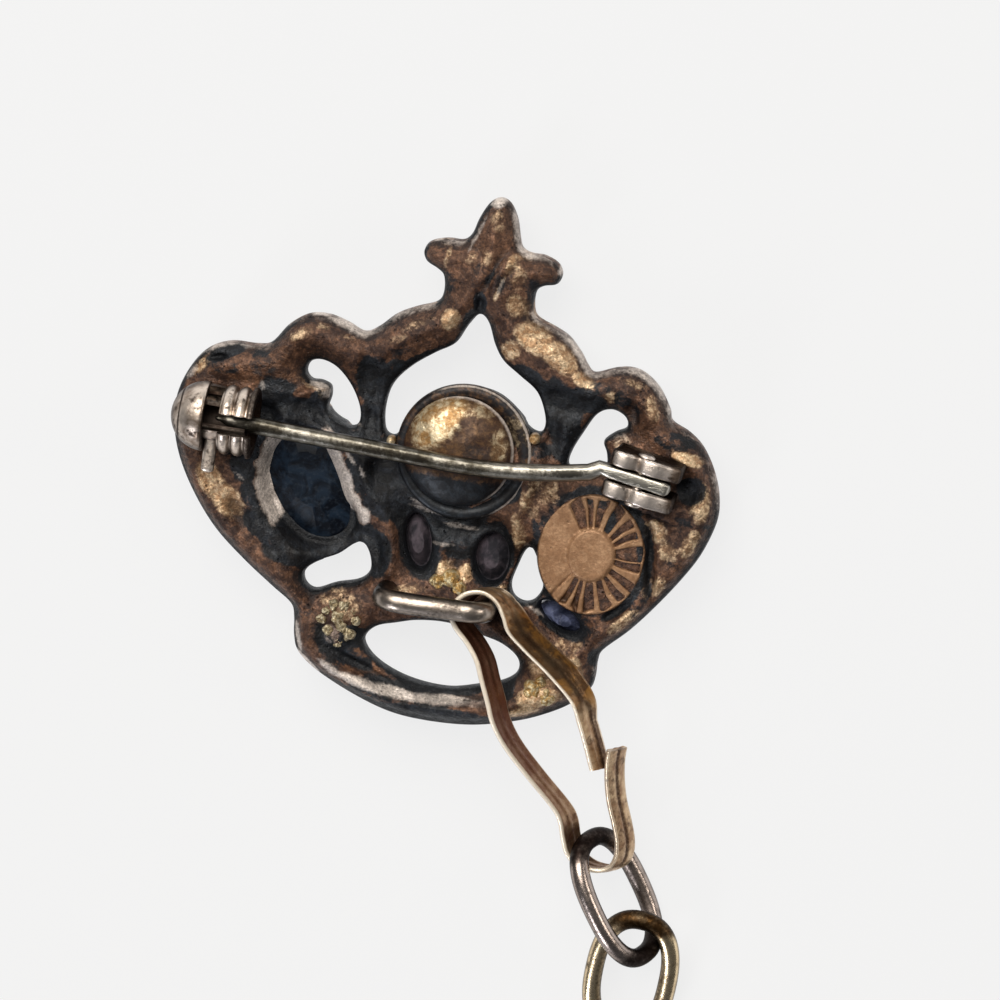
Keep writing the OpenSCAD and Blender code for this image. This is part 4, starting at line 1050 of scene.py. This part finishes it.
# Hinge: two ears on the casting and the rivet through them
hinge = {
    "earWide": 0.76,
    "gap": 0.06,  # between each ear and the pin's root
    "rivet": 0.28,  # radii of the shank and of its heads
    "head": 0.44,
    "footLevel": 3.1,
}


# points from u along the pin's root, depth along the rivet and v up, all from the rivet's middle
def inHingeFrame(u, depth, v):
    along, across = ways(pin["hingeTurn"])
    x, y, z = drawn(pin["rivetAt"])
    x, y = (at + u * a + depth * b for at, a, b in zip((x, y), along, across))
    return np.stack([x, y, z + v], -1)


# each ear: its side outline with two rounded humps, carried across its thickness
def makeEars():
    c = hinge
    foot = c["footLevel"] - pin["rivetAt"][2]
    humps = [[-1.5, foot], [1.95, foot], [1.94, foot + 0.4], [1.92, -0.3], [1.9, 0.1], [1.8, 0.36],
             [1.4, 0.42], [1.0, 0.48], [0.65, 0.62], [0.3, 0.64], [0.0, 0.6], [-0.22, 0.42], [-0.4, 0.4],
             [-0.58, 0.48], [-0.8, 0.64], [-1.15, 0.66], [-1.46, 0.56], [-1.66, 0.3], [-1.7, -0.1],
             [-1.6, -0.5], [-1.5, foot + 0.4]]
    side = cornerCut(humps)
    low = pin["rootWide"] / 2 + c["gap"]
    high = low + c["earWide"]
    points, faces = joined(*(plate(side, a, b, 0.13, lambda u, v, depth: inHingeFrame(u, depth, v))
                             for a, b in ((low, high), (-high, -low))))
    # the tops lighter, rubbed and painted as highlights; the lower parts painted in shade
    worn = smoothStep(points[:, 2], 5.6, 6.02)
    blotch = 0.3 * softNoise(points[:, 0], points[:, 1], 0.5, 25)
    return makePiece("hingeEars", points, faces,
                     {"wear": 0.2 + 0.8 * worn + blotch, "dark": 0.7 * (1 - worn)})


# half profile of shank and two domed heads turned about the hinge's axis
def makeRivet():
    c = hinge
    reach = pin["rootWide"] / 2 + c["gap"] + c["earWide"]
    r, q = c["rivet"], c["head"]
    head = [[0.22, 0], [0.21, q * 0.35], [0.17, q * 0.75], [0.1, q * 0.97], [0.03, q], [0.0, q * 0.97],
            [-0.02, r]]
    profile = [[reach + a, b] for a, b in head] + [[-reach - a, b] for a, b in head[::-1]]
    across = ways(pin["hingeTurn"])[1]
    points, faces = turned(profile[::-1], drawn(pin["rivetAt"]), [*across, 0], 40)
    one = np.ones(len(points))
    return makePiece("rivetWire", points, faces, {"wear": 0.8 * one, "dark": 0 * one})


# Catch: half ball, ridged barrel with its slot, the strip that joins them and the block they stand on
catch = {
    "at": [-12.842, 0.5565, 5.4],  # in real millimetres: the half ball's middle, on the barrel's axis
    "radius": 1.75,
    "window": 0.8,  # from the half ball to the barrel
    "barrel": 1.4,  # length of the barrel without its last ring
    "slot": 0.5,  # half width of the barrel's slot
    "bore": 1.2,
    "strip": [80, 250],  # from and to this angle, +Z towards +Y
    "drum": [76, 335],
    "sleeve": 1.14,
    "sleeveBore": 0.62,
    "foot": [3.1, 4.6],  # lower and upper level of the block
    "lever": [-0.9, -2.62],  # from and to here along Y
}


# part of a ring: a closed profile of (along X, radius) turned from one angle to another, which may be given
# for every point of the profile; angles run from +Z towards +Y
def partRing(profile, fromAngle, toAngle, steps):
    x, y, z = catch["at"]
    along, radius = np.transpose(profile)
    t = np.linspace(0, 1, steps)[:, None]
    g = np.radians(fromAngle * (1 - t) + toAngle * t) + 0 * radius
    return tube(np.stack([x + along + 0 * g, y + radius * np.sin(g), z + radius * np.cos(g)], -1))


# quarter circle turned to a half ball, ridged profile turned round to both sides of the slot, strip, block
def makeCatch():
    c = catch
    r, w, bore = c["radius"], c["window"], c["bore"]
    g = np.radians(np.linspace(0, 90, 22))
    ball = np.stack([-r * np.cos(g), r * np.sin(g)], -1)
    inside = [[0.03, r - 0.06], [0.03, bore + 0.06], [0.0, bore], [-1.0, bore], [-1.08, bore - 0.1],
              [-1.1, 0]]
    shell = turned(np.vstack([ball, inside])[::-1], c["at"], [1, 0, 0], 96)
    end = w + c["barrel"]
    outer = [[w, bore], [w, r - 0.22]]  # two ridges and a last ring
    for a in (w + 0.04, w + 0.7):
        outer += [[a, r - 0.24], [a + 0.06, r - 0.12], [a + 0.18, r - 0.03], [a + 0.32, r],
                  [a + 0.46, r - 0.03], [a + 0.56, r - 0.12], [a + 0.61, r - 0.24]]
    outer += [[end + 0.03, r - 0.05], [end + 0.08, r + 0.04], [end + 0.2, r + 0.05],
              [end + 0.27, r - 0.02], [end + 0.28, r - 0.2], [end + 0.28, bore]]
    outer = np.array(outer)
    gap = np.degrees(np.arcsin(c["slot"] / outer[:, 1]))
    barrel = partRing(outer, gap, 360 - gap, 110)
    stripProfile = [[-0.02, bore], [-0.02, r - 0.1], [0.4, r - 0.12], [w + 0.06, r - 0.14],
                    [w + 0.06, bore]]
    strip = partRing(stripProfile, *c["strip"], 50)
    foot = [[-1.2, -0.98], [2.15, -0.98], [2.1, 0.98], [-1.15, 0.98]]
    base = plate(cornerCut(foot), *c["foot"], 0.08,
                 lambda u, v, z: np.stack([c["at"][0] + u, c["at"][1] + v, z], -1))
    points, faces = joined(shell, barrel, strip, base)
    points[:, 2] += 0.02 * softNoise(points[:, 0] * 1.3 + points[:, 2], points[:, 1], 0.5, 41)
    x, y, z = (points - c["at"]).T
    # painted shade low down, on the side away from the key lamp and inside the bore; the ridge crests
    # lighter, rubbed and painted as highlights
    low, south = 1 - smoothStep(points[:, 2], 4.0, 6.6), 1 - smoothStep(y, -1.5, 0.4)
    fromAxis = np.hypot(y, z)
    inner = (fromAxis < bore + 0.15) & (x > -1.2)
    blotch = 0.35 * softNoise(points[:, 0] + points[:, 2], points[:, 1], 0.8, 43)
    lastRing = 0.75 * smoothStep(x, end - 0.07, end)
    crest = smoothStep(fromAxis, r - 0.16, r - 0.03) * smoothStep(x, w - 0.1, w) * (1 - low)
    dark = np.clip(0.75 * low + 0.35 * south + blotch, 0.1, 1) * (1 - 0.7 * crest)
    dark = np.maximum(dark, np.maximum(inner, lastRing))
    worn = 0.6 - 0.3 * low + blotch + 0.4 * crest
    return makePiece("catchShell", points, faces, {"wear": worn, "dark": dark})


# drum: profile of its wall turned part of the way round; lever: oblong outline along a straight line
def makeSleeve():
    c = catch
    a, b = c["sleeve"], c["sleeveBore"]
    wall = [[-0.98, b], [-1.0, b + 0.05], [-1.0, a - 0.06], [-0.95, a], [2.05, a], [2.1, a - 0.05],
            [2.1, b + 0.05], [2.06, b]]
    drum = partRing(wall, *c["drum"], 80)
    bar = c["at"] + np.array([[0.4, v, 0.0] for v in np.linspace(*c["lever"], 14)])
    lever = sweep(bar, oblong(28, 0.32, 0.25, 3.0), [0, 0, 1], endRound=0.18)
    points, faces = joined(drum, lever)
    y, z = (points - c["at"]).T[1:]
    onLever = y < -a - 0.02
    # the inside of the drum painted in shade
    inner = (np.hypot(y, z) < b + 0.1) & ~onLever
    worn = np.where(onLever, 1.0, 0.65)
    return makePiece("catchSleeve", points, faces, {"wear": worn, "dark": 1.0 * inner})


# sRGB code to a linear colour
def tone(code):
    c = [int(code[i:i + 2], 16) / 255 for i in (1, 3, 5)]
    return tuple(v / 12.92 if v <= 0.04045 else ((v + 0.055) / 1.055) ** 2.4 for v in c) + (1.0,)


# adds a node; an input given as a socket is linked, anything else is its value
def add(tree, kind, inputs=None, **settings):
    node = tree.nodes.new(kind)
    for key, value in settings.items():
        setattr(node, key, value)
    for key, value in (inputs or {}).items():
        if isinstance(value, bpy.types.NodeSocket):
            tree.links.new(value, node.inputs[key])
        else:
            node.inputs[key].default_value = value
    return node


# one sum of values or sockets, and the four used most by name
def maths(tree, operation, *values):
    return add(tree, "ShaderNodeMath", dict(enumerate(values)), operation=operation).outputs[0]


def times(tree, a, b):
    return maths(tree, "MULTIPLY", a, b)


def plus(tree, a, b):
    return maths(tree, "ADD", a, b)


def minus(tree, a, b):
    return maths(tree, "SUBTRACT", a, b)


def larger(tree, a, b):
    return maths(tree, "MAXIMUM", a, b)


# a vector times a number
def scaled(tree, vector, factor):
    return add(tree, "ShaderNodeVectorMath", {0: vector, "Scale": factor}, operation="SCALE").outputs[0]


# a where the factor is 0, b where it is 1
def mixColour(tree, factor, a, b):
    return add(tree, "ShaderNodeMix", {0: factor, 6: a, 7: b}, data_type="RGBA").outputs[2]


def mixValue(tree, factor, a, b):
    return add(tree, "ShaderNodeMix", {0: factor, 2: a, 3: b}, data_type="FLOAT").outputs[0]


# smooth ramp from 0 at low to 1 at high
def ramp(tree, value, low, high):
    return add(tree, "ShaderNodeMapRange", {"Value": value, "From Min": low, "From Max": high},
               interpolation_type="SMOOTHSTEP").outputs[0]


# cloudy noise round 0.5; lumpy bends its shapes
def noise(tree, vector, scale, detail, rough=0.55, lumpy=0.0):
    return add(tree, "ShaderNodeTexNoise", {"Vector": vector, "Scale": scale, "Detail": detail,
                                            "Roughness": rough, "Distortion": lumpy}).outputs["Fac"]


# a node group with named inputs and outputs; returns it with its input sockets
def newGroup(name, inputs, outputs):
    group = bpy.data.node_groups.new(name, "ShaderNodeTree")
    for label, value in inputs.items():
        kind = "Float" if isinstance(value, float) else ("Color" if len(value) == 4 else "Vector")
        socket = group.interface.new_socket(name=label, in_out="INPUT", socket_type="NodeSocket" + kind)
        socket.default_value = value
    for label, kind in outputs.items():
        group.interface.new_socket(name=label, in_out="OUTPUT", socket_type="NodeSocket" + kind)
    start, end = group.nodes.new("NodeGroupInput"), group.nodes.new("NodeGroupOutput")
    return group, start.outputs, end.inputs


# links each value to the socket of its name
def give(tree, sockets, values):
    for label, value in values.items():
        tree.links.new(value, sockets[label])


# a group by its name, with these inputs; returns its outputs
def useGroup(tree, group, inputs):
    return add(tree, "ShaderNodeGroup", inputs, node_tree=bpy.data.node_groups[group]).outputs


# cast skin: low lumps, fine grain and small pits
def castSkinGroup():
    g, i, out = newGroup("castSkin", {"Vector": (0, 0, 0), "Size": 1.0, "Pits": 0.5},
                         {"Height": "Float", "Pitting": "Float"})
    v = scaled(g, i["Vector"], i["Size"])
    lumps = noise(g, v, 1.7, 3.0, 0.5)
    grain = noise(g, v, 9.0, 3.0, 0.6)
    cells = add(g, "ShaderNodeTexVoronoi", {"Vector": v, "Scale": 3.4}).outputs["Distance"]
    spread = ramp(g, noise(g, v, 1.1, 2.0), 0.48, 0.68)
    pits = times(g, minus(g, 1.0, ramp(g, cells, 0.05, 0.26)), spread)
    pits = times(g, pits, i["Pits"])
    height = maths(g, "MULTIPLY_ADD", grain, 0.3, 0.0)
    height = plus(g, times(g, lumps, 0.7), height)
    give(g, out, {"Height": minus(g, height, pits), "Pitting": pits})


# layers of an old gilt casting: mottled brown, worn gilt and painted sheen, dark tarnish and painted shade,
# blackened hollows, pale rubbed edges and painted highlights
def patinaGroup():
    g, i, out = newGroup("patina", {
        "Vector": (0, 0, 0), "Scale": 1.0, "Brown": tone("#38231a"), "Light Brown": tone("#936a50"),
        "Gilt": tone("#b88f68"), "Bright Gilt": tone("#fadcb4"), "Black": tone("#0a0c10"),
        "Blue Black": tone("#2b353e"), "Silver": tone("#efe2d8"), "Gilt Mask": 0.0, "Dark Mask": 0.0,
        "Pale Mask": 0.0, "Relief": 0.0, "Pitting": 0.0, "Mottling": 1.0},
        {"Color": "Color", "Roughness": "Float", "Metallic": "Float"})
    v = scaled(g, i["Vector"], i["Scale"])
    patch = ramp(g, noise(g, v, 0.5, 3.0, 0.55, 0.5), 0.4, 0.62)
    fine = noise(g, v, 2.3, 4.0, 0.66, 0.4)
    mottle = ramp(g, fine, 0.42, 0.6)
    grit = ramp(g, noise(g, v, 4.2, 3.0, 0.6), 0.42, 0.64)
    spread = plus(g, times(g, mottle, 0.65), times(g, grit, 0.35))
    spread = times(g, minus(g, spread, 0.5), i["Mottling"])
    base = plus(g, times(g, patch, 0.45), times(g, mottle, 0.55))
    base = mixColour(g, base, i["Brown"], i["Light Brown"])
    base = mixColour(g, times(g, minus(g, 1.0, grit), 0.5), base, i["Brown"])
    giltEdge = plus(g, i["Gilt Mask"], times(g, spread, 0.36))
    giltEdge = plus(g, giltEdge, times(g, i["Relief"], 0.2))
    giltOn = times(g, ramp(g, giltEdge, 0.08, 0.9), ramp(g, i["Gilt Mask"], 0.02, 0.2))
    bright = ramp(g, plus(g, spread, times(g, i["Relief"], 0.2)), -0.5, 0.7)
    colour = mixColour(g, giltOn, base, mixColour(g, bright, i["Gilt"], i["Bright Gilt"]))
    darkEdge = minus(g, i["Dark Mask"], times(g, spread, 0.35))
    darkEdge = minus(g, darkEdge, times(g, i["Relief"], 0.25))
    darkOn = times(g, ramp(g, darkEdge, 0.12, 0.62), ramp(g, i["Dark Mask"], 0.02, 0.15))
    blue = plus(g, times(g, patch, 0.35), times(g, mottle, 0.5))
    colour = mixColour(g, times(g, darkOn, 0.96), colour, mixColour(g, blue, i["Black"], i["Blue Black"]))
    cavity = ramp(g, times(g, i["Relief"], -1.0), 0.15, 0.9)
    colour = mixColour(g, times(g, cavity, 0.55), colour, i["Black"])
    paleEdge = plus(g, i["Pale Mask"], times(g, spread, 0.3))
    paleOn = times(g, ramp(g, paleEdge, 0.05, 1.0), ramp(g, i["Pale Mask"], 0.02, 0.2))
    colour = mixColour(g, paleOn, colour, i["Silver"])
    colour = mixColour(g, times(g, i["Pitting"], 0.7), colour, i["Black"])
    grain = ramp(g, noise(g, v, 8.0, 3.0, 0.7), 0.3, 0.7)
    grain = times(g, minus(g, 1.0, grain), times(g, i["Mottling"], 0.48))
    rough = mixValue(g, larger(g, giltOn, paleOn), 0.48, 0.4)
    give(g, out, {"Color": mixColour(g, grain, colour, i["Black"]),
                  "Roughness": minus(g, rough, times(g, spread, 0.14)),
                  "Metallic": mixValue(g, paleOn, mixValue(g, giltOn, 0.4, 0.6), 0.3)})


# worn plain metal: clean colour where rubbed and where a highlight is painted, dull in between, black where
# tarnish and painted shade are masked, fine scratches
def wornGroup():
    g, i, out = newGroup("wornMetal", {
        "Vector": (0, 0, 0), "Scale": 1.0, "Clean": tone("#d6cdc2"), "Dull": tone("#857a6e"),
        "Black": tone("#15120f"), "Wear Mask": 0.5, "Dark Mask": 0.0, "Scratches": 0.5, "Blotches": 0.6,
        "Base Roughness": 0.24}, {"Color": "Color", "Roughness": "Float", "Height": "Float"})
    v = scaled(g, i["Vector"], i["Scale"])
    cloud = noise(g, v, 1.3, 4.0, 0.6, 0.3)
    fine = noise(g, v, 6.0, 3.0, 0.6)
    stretched = add(g, "ShaderNodeMapping", {"Vector": v, "Rotation": (0.3, 0.2, 0.7),
                                             "Scale": (1.2, 16.0, 9.0)}).outputs[0]
    lines = ramp(g, noise(g, stretched, 1.4, 2.0, 0.5), 0.56, 0.7)
    lines = times(g, lines, i["Scratches"])
    worn = plus(g, i["Wear Mask"], times(g, minus(g, cloud, 0.5), 1.3))
    colour = mixColour(g, ramp(g, worn, 0.2, 0.8), i["Dull"], i["Clean"])
    blots = times(g, ramp(g, noise(g, v, 1.5, 4.0, 0.6, 0.3), 0.42, 0.72), i["Blotches"])
    grime = plus(g, larger(g, i["Dark Mask"], blots), times(g, minus(g, fine, 0.5), 0.7))
    grimeOn = times(g, ramp(g, grime, 0.2, 0.85), 0.92)
    colour = mixColour(g, grimeOn, colour, i["Black"])
    rough = plus(g, times(g, grimeOn, 0.25), i["Base Roughness"])
    give(g, out, {"Color": mixColour(g, times(g, lines, 0.3), colour, i["Dull"]),
                  "Roughness": plus(g, rough, times(g, fine, 0.14)),
                  "Height": minus(g, times(g, fine, 0.5), times(g, lines, 0.25))})


# glass seen from behind: cloudy tint and a dusty film
def stoneGroup():
    g, i, out = newGroup("stoneTint", {
        "Vector": (0, 0, 0), "Deep": tone("#0b0f18"), "Light": tone("#2a3240"), "Film": tone("#6d7078"),
        "Film Amount": 0.3}, {"Color": "Color", "Roughness": "Float", "Height": "Float"})
    cloud = noise(g, i["Vector"], 0.9, 4.0, 0.6, 0.8)
    fine = noise(g, i["Vector"], 5.0, 3.0, 0.6)
    colour = mixColour(g, ramp(g, cloud, 0.38, 0.66), i["Deep"], i["Light"])
    film = times(g, ramp(g, fine, 0.5, 0.72), i["Film Amount"])
    give(g, out, {"Color": mixColour(g, film, colour, i["Film"]),
                  "Roughness": maths(g, "MULTIPLY_ADD", film, 0.6, 0.42), "Height": cloud})


castSkinGroup()
patinaGroup()
wornGroup()
stoneGroup()


# a new material's node tree, its shader's inputs and the surface's points in millimetres
def newMaterial(name, metallic=0.0, rough=0.4):
    m = bpy.data.materials.new(name)
    m.use_nodes = True
    t = m.node_tree
    shader = t.nodes["Principled BSDF"].inputs
    shader["Metallic"].default_value = metallic
    shader["Roughness"].default_value = rough
    points = scaled(t, add(t, "ShaderNodeTexCoord").outputs["Object"], 1000.0)
    return t, shader, points


# a mask that the mesh carries
def read(tree, name):
    return add(tree, "ShaderNodeAttribute", attribute_name=name, attribute_type="GEOMETRY").outputs["Fac"]


# relief of the shading; the distance is in millimetres
def bump(tree, shader, height, distance):
    node = add(tree, "ShaderNodeBump", {"Height": height, "Distance": distance * 0.001, "Strength": 1.0})
    tree.links.new(node.outputs[0], shader["Normal"])


# the same dictionary with linear colours for its codes
def toned(tones):
    return {key: tone(code) for key, code in tones.items()}


# cast metal: masks from the mesh, tones from the dictionary, relief only where the mesh has it
def castMaterial(name, look):
    t, shader, points = newMaterial(name)
    skin = useGroup(t, "castSkin", {"Vector": points, "Size": look["scale"], "Pits": look["pits"]})
    layers = {"Vector": points, "Scale": look["scale"], "Pitting": skin["Pitting"],
              "Mottling": look["mottling"], "Gilt Mask": read(t, "gilt"), "Dark Mask": read(t, "dark"),
              "Pale Mask": read(t, "pale")}
    if look.get("relief"):
        layers["Relief"] = read(t, "relief")
    out = useGroup(t, "patina", {**layers, **toned(look["tones"])})
    give(t, shader, {"Base Color": out["Color"], "Roughness": out["Roughness"],
                     "Metallic": out["Metallic"]})
    bump(t, shader, skin["Height"], look["bump"])


# worn metal, with painted shade where its surface turns away from the eye
def wornMaterial(name, look):
    t, shader, points = newMaterial(name, 1.0)
    tones = toned(look["tones"])
    out = useGroup(t, "wornMetal", {
        "Vector": points, "Scratches": look["scratches"], "Wear Mask": read(t, "wear"),
        "Dark Mask": read(t, "dark"), "Base Roughness": look["rough"], "Blotches": look["blotches"],
        **tones})
    turnedAway = add(t, "ShaderNodeLayerWeight", {"Blend": 0.5}).outputs["Facing"]
    colour = mixColour(t, times(t, ramp(t, turnedAway, 0.3, 0.8), 0.8), out["Color"], tones["Black"])
    give(t, shader, {"Base Color": colour, "Roughness": out["Roughness"]})
    bump(t, shader, out["Height"], look["bump"])


# glass with a thin coat over its cloudy tint
def stoneMaterial(name, look):
    t, shader, points = newMaterial(name)
    out = useGroup(t, "stoneTint", {"Vector": points, "Film Amount": look["film"], **toned(look["tones"])})
    give(t, shader, {"Base Color": out["Color"], "Roughness": out["Roughness"]})
    shader["Specular IOR Level"].default_value = look["shine"]
    shader["Coat Weight"].default_value = look["coat"]
    shader["Coat Roughness"].default_value = 0.08
    bump(t, shader, out["Height"], 0.05)


# ribbon metal: gilt outside, reddish brown inside, a bright line along its edges, rubbed and painted as a
# highlight
def clipMaterial(name, look):
    t, shader, points = newMaterial(name, 1.0)
    rubbedEdgeAndHighlight, inner, tones = read(t, "rubbedEdgeAndHighlight"), read(t, "inner"), toned(look["tones"])
    grime = larger(t, times(t, read(t, "groove"), 0.22), times(t, inner, 0.4))
    grime = larger(t, grime, read(t, "shade"))
    out = useGroup(t, "wornMetal", {
        "Vector": points, "Scale": 1.0, "Scratches": look["scratches"], "Clean": tones["Clean"],
        "Dull": tones["Dull"], "Black": tones["Black"], "Wear Mask": plus(t, times(t, rubbedEdgeAndHighlight, 0.5), 0.45),
        "Dark Mask": grime})
    colour = mixColour(t, times(t, inner, 0.85), out["Color"], tones["Inside"])
    glint = ramp(t, noise(t, points, 0.8, 3.0, 0.6, 0.6), 0.5, 0.62)
    amber = mixColour(t, glint, tones["Amber"], tones["Light Amber"])
    amber = mixColour(t, read(t, "groove"), amber, tones["Groove"])
    colour = mixColour(t, times(t, read(t, "amber"), 0.9), colour, amber)
    give(t, shader, {"Base Color": mixColour(t, times(t, rubbedEdgeAndHighlight, 0.92), colour, tones["Edge"]),
                     "Metallic": mixValue(t, rubbedEdgeAndHighlight, 0.8, 0.35), "Roughness": out["Roughness"]})
    bump(t, shader, out["Height"], look["bump"])


# Metals and glasses: the tones that differ from their group's own, bumps in millimetres
castMetals = {
    "castMetal": {"bump": 0.17, "pits": 0.7, "scale": 1.0, "mottling": 1.0, "relief": True, "tones": {}},
    "cupMetal": {"bump": 0.05, "pits": 0.3, "scale": 0.8, "mottling": 0.85, "tones": {
        "Brown": "#38221a", "Light Brown": "#7d5d3e", "Gilt": "#ac8350", "Bright Gilt": "#fff0cc"}},
    "plaqueMetal": {"bump": 0.07, "pits": 0.4, "scale": 0.9, "mottling": 0.6, "tones": {
        "Brown": "#9a7352", "Light Brown": "#c79e79", "Blue Black": "#6b4a30", "Black": "#332013"}},
    "solderMetal": {"bump": 0.16, "pits": 0.4, "scale": 1.3, "mottling": 1.0, "tones": {
        "Gilt": "#c39a58", "Bright Gilt": "#fff3c8"}},
    "chipMetal": {"bump": 0.2, "pits": 0.6, "scale": 1.5, "mottling": 1.0, "tones": {
        "Gilt": "#a08d6b", "Bright Gilt": "#fbeecb"}},
}
wornMetals = {
    "findingMetal": {"scratches": 0.5, "rough": 0.3, "bump": 0.02, "blotches": 0.8, "tones": {
        "Clean": "#f2e2d3", "Dull": "#7f6b5a", "Black": "#2a1d17"}},
    "hingeMetal": {"scratches": 0.4, "rough": 0.34, "bump": 0.02, "blotches": 0.7, "tones": {
        "Clean": "#f0e3d8", "Dull": "#7f6d5f", "Black": "#241a15"}},
    "bailMetal": {"scratches": 0.5, "rough": 0.24, "bump": 0.02, "blotches": 0.6, "tones": {
        "Clean": "#b6a99d", "Dull": "#5d5046", "Black": "#17110e"}},
    "pinMetal": {"scratches": 0.8, "rough": 0.26, "bump": 0.02, "blotches": 0.3, "tones": {
        "Clean": "#b5b0a5", "Dull": "#5b564b", "Black": "#221e19"}},
    "linkMetal": {"scratches": 0.5, "rough": 0.2, "bump": 0.01, "blotches": 0.6, "tones": {
        "Clean": "#b9aaa1", "Dull": "#403531", "Black": "#1a1210"}},
    "linkGold": {"scratches": 0.5, "rough": 0.2, "bump": 0.01, "blotches": 0.6, "tones": {
        "Clean": "#f6deb6", "Dull": "#85613a", "Black": "#24180d"}},
}
glasses = {
    "blueGlass": {"film": 0.3, "coat": 0.0, "shine": 0.15, "tones": {
        "Deep": "#080c14", "Light": "#1c2836", "Film": "#363e48"}},
    "greyGlass": {"film": 0.2, "coat": 0.0, "shine": 0.12, "tones": {
        "Deep": "#2c2b30", "Light": "#574f56", "Film": "#605a5f"}},
    "violetGlass": {"film": 0.3, "coat": 0.1, "shine": 0.25, "tones": {
        "Deep": "#23283c", "Light": "#5b627f", "Film": "#8a8fa6"}},
}
ribbons = {
    "clipGilt": {"scratches": 0.4, "bump": 0.03, "tones": {
        "Clean": "#dfc19b", "Dull": "#967354", "Black": "#3a2114", "Inside": "#5e3427", "Amber": "#503418",
        "Light Amber": "#98682a", "Groove": "#2e1d0e", "Edge": "#fff2de"}},
}
for make, looks in ((castMaterial, castMetals), (wornMaterial, wornMetals), (stoneMaterial, glasses),
                    (clipMaterial, ribbons)):
    for name, look in looks.items():
        make(name, look)
report("materials ready")

dress(makeCasting(), "brooch", "crown", "castMetal")
dress(makeCup(), "brooch", "crown", "cupMetal")
dress(makePlaque(), "brooch", "crown", "plaqueMetal")
dress(makeLumps("solderLumps", "lumps"), "brooch", "crown", "solderMetal")
dress(makeLumps("solderChips", "chips"), "brooch", "crown", "chipMetal")
dress(makeLumps("solderBeads", "beads"), "brooch", "crown", "cupMetal")
dress(makeBail(), "brooch", "crown", "bailMetal")
dress(makeEars(), "brooch", "crown", "hingeMetal")
dress(makeCatch(), "brooch", "crown", "findingMetal")
dress(makeRivet(), "brooch", "hinge_rivet", "hingeMetal")
dress(makeSleeve(), "catch", "catch_sleeve", "findingMetal")
dress(makePin(), "pin", "pin_stem", "pinMetal")
dress(makeClip(), "brooch", "clip", "clipGilt")
dress(makeLink("chainLinkDark", links["first"]), "brooch", "link_1", "linkMetal")
dress(makeLink("chainLinkGold", links["second"]), "brooch", "link_2", "linkGold")
report("pieces made")

# the stones keep their cut solids and get their glass
stones = {"left_stone": "blueGlass", "small_stone_left": "greyGlass", "small_stone_right": "greyGlass",
          "corner_stone": "violetGlass"}
for node, glass in stones.items():
    for slot in bpy.data.objects[node].material_slots:
        slot.material = bpy.data.materials[glass]

# Floor, lights and camera
stageValues = {
    "floorSize": 1.2,
    "floorLevel": -0.00003,  # just under the stone's table and the links
    "floorTone": "#f3f3f3",
    "floorPaper": "#4a4a4a",
    "floorGlow": 0.895,
    "worldTone": "#b9bcc0",
    "worldStrength": 0.16,
}
# lights: place in metres, size, power, tint
lamps = {
    "keyLamp": [(-0.10, 0.25, 0.36), 0.42, 2.5, "#fffaf2"],
    "rightLamp": [(0.34, 0.12, 0.20), 0.12, 0.22, "#fff8ee"],
    "lowLamp": [(-0.16, -0.30, 0.20), 0.12, 0.5, "#f4f7ff"],
}


# a square of paper under the piece, bright by its own glow
def makeFloor():
    c = stageValues
    half, z = c["floorSize"] / 2, c["floorLevel"]
    mesh = bpy.data.meshes.new("floorPlate")
    corner = [(-half, -half, z), (half, -half, z), (half, half, z), (-half, half, z)]
    mesh.from_pydata(corner, [], [(0, 1, 2, 3)])
    shader = newMaterial("floorPaper", rough=0.9)[1]
    shader["Base Color"].default_value = tone(c["floorPaper"])
    shader["Emission Color"].default_value = tone(c["floorTone"])
    shader["Emission Strength"].default_value = c["floorGlow"]
    mesh.materials.append(bpy.data.materials["floorPaper"])
    floor = addObject("floorPlate", mesh)


# round lamps that point at the middle, and a soft grey world
def makeLights():
    for name, (place, size, power, tint) in lamps.items():
        light = bpy.data.lights.new(name, "AREA")
        light.shape, light.size, light.energy, light.color = "DISK", size, power, tone(tint)[:3]
        lamp = addObject(name, light)
        lamp.location = place
        lamp.rotation_euler = (-Vector(place)).to_track_quat("-Z", "Y").to_euler()
    world = bpy.data.worlds.new("studio")
    world.use_nodes = True
    sky = world.node_tree.nodes["Background"]
    sky.inputs["Color"].default_value = tone(stageValues["worldTone"])
    sky.inputs["Strength"].default_value = stageValues["worldStrength"]
    bpy.context.scene.world = world


view = {
    "target": (0.002236, 0.006042, 0.0024),
    "towards": (0.087, 0.19, 1.0),  # from the target to the camera
    "roll": 8.0,  # degrees that the picture's up leans towards -X
    "lens": 200.0,
    "sensor": 36.0,
    "covers": 0.05,  # metres across the picture, at the target
}


# the photo's view, from above and a little from the fleur's side
def makeCamera():
    c = view
    data = bpy.data.cameras.new("photoView")
    data.lens, data.sensor_width = c["lens"], c["sensor"]
    data.clip_start, data.clip_end = 0.01, 3.0
    out = Vector(c["towards"]).normalized()
    lean = math.radians(c["roll"])
    right = Vector((-math.sin(lean), math.cos(lean), 0)).cross(out).normalized()
    up = out.cross(right)
    place = Vector(c["target"]) + out * (c["covers"] / c["sensor"] * c["lens"])
    camera = addObject("photoView", data)
    camera.matrix_world = Matrix.Translation(place) @ Matrix((right, up, out)).transposed().to_4x4()
    bpy.context.scene.camera = camera


makeFloor()
makeLights()
makeCamera()
bpy.context.scene.view_settings.view_transform = "Standard"
report("stage ready")
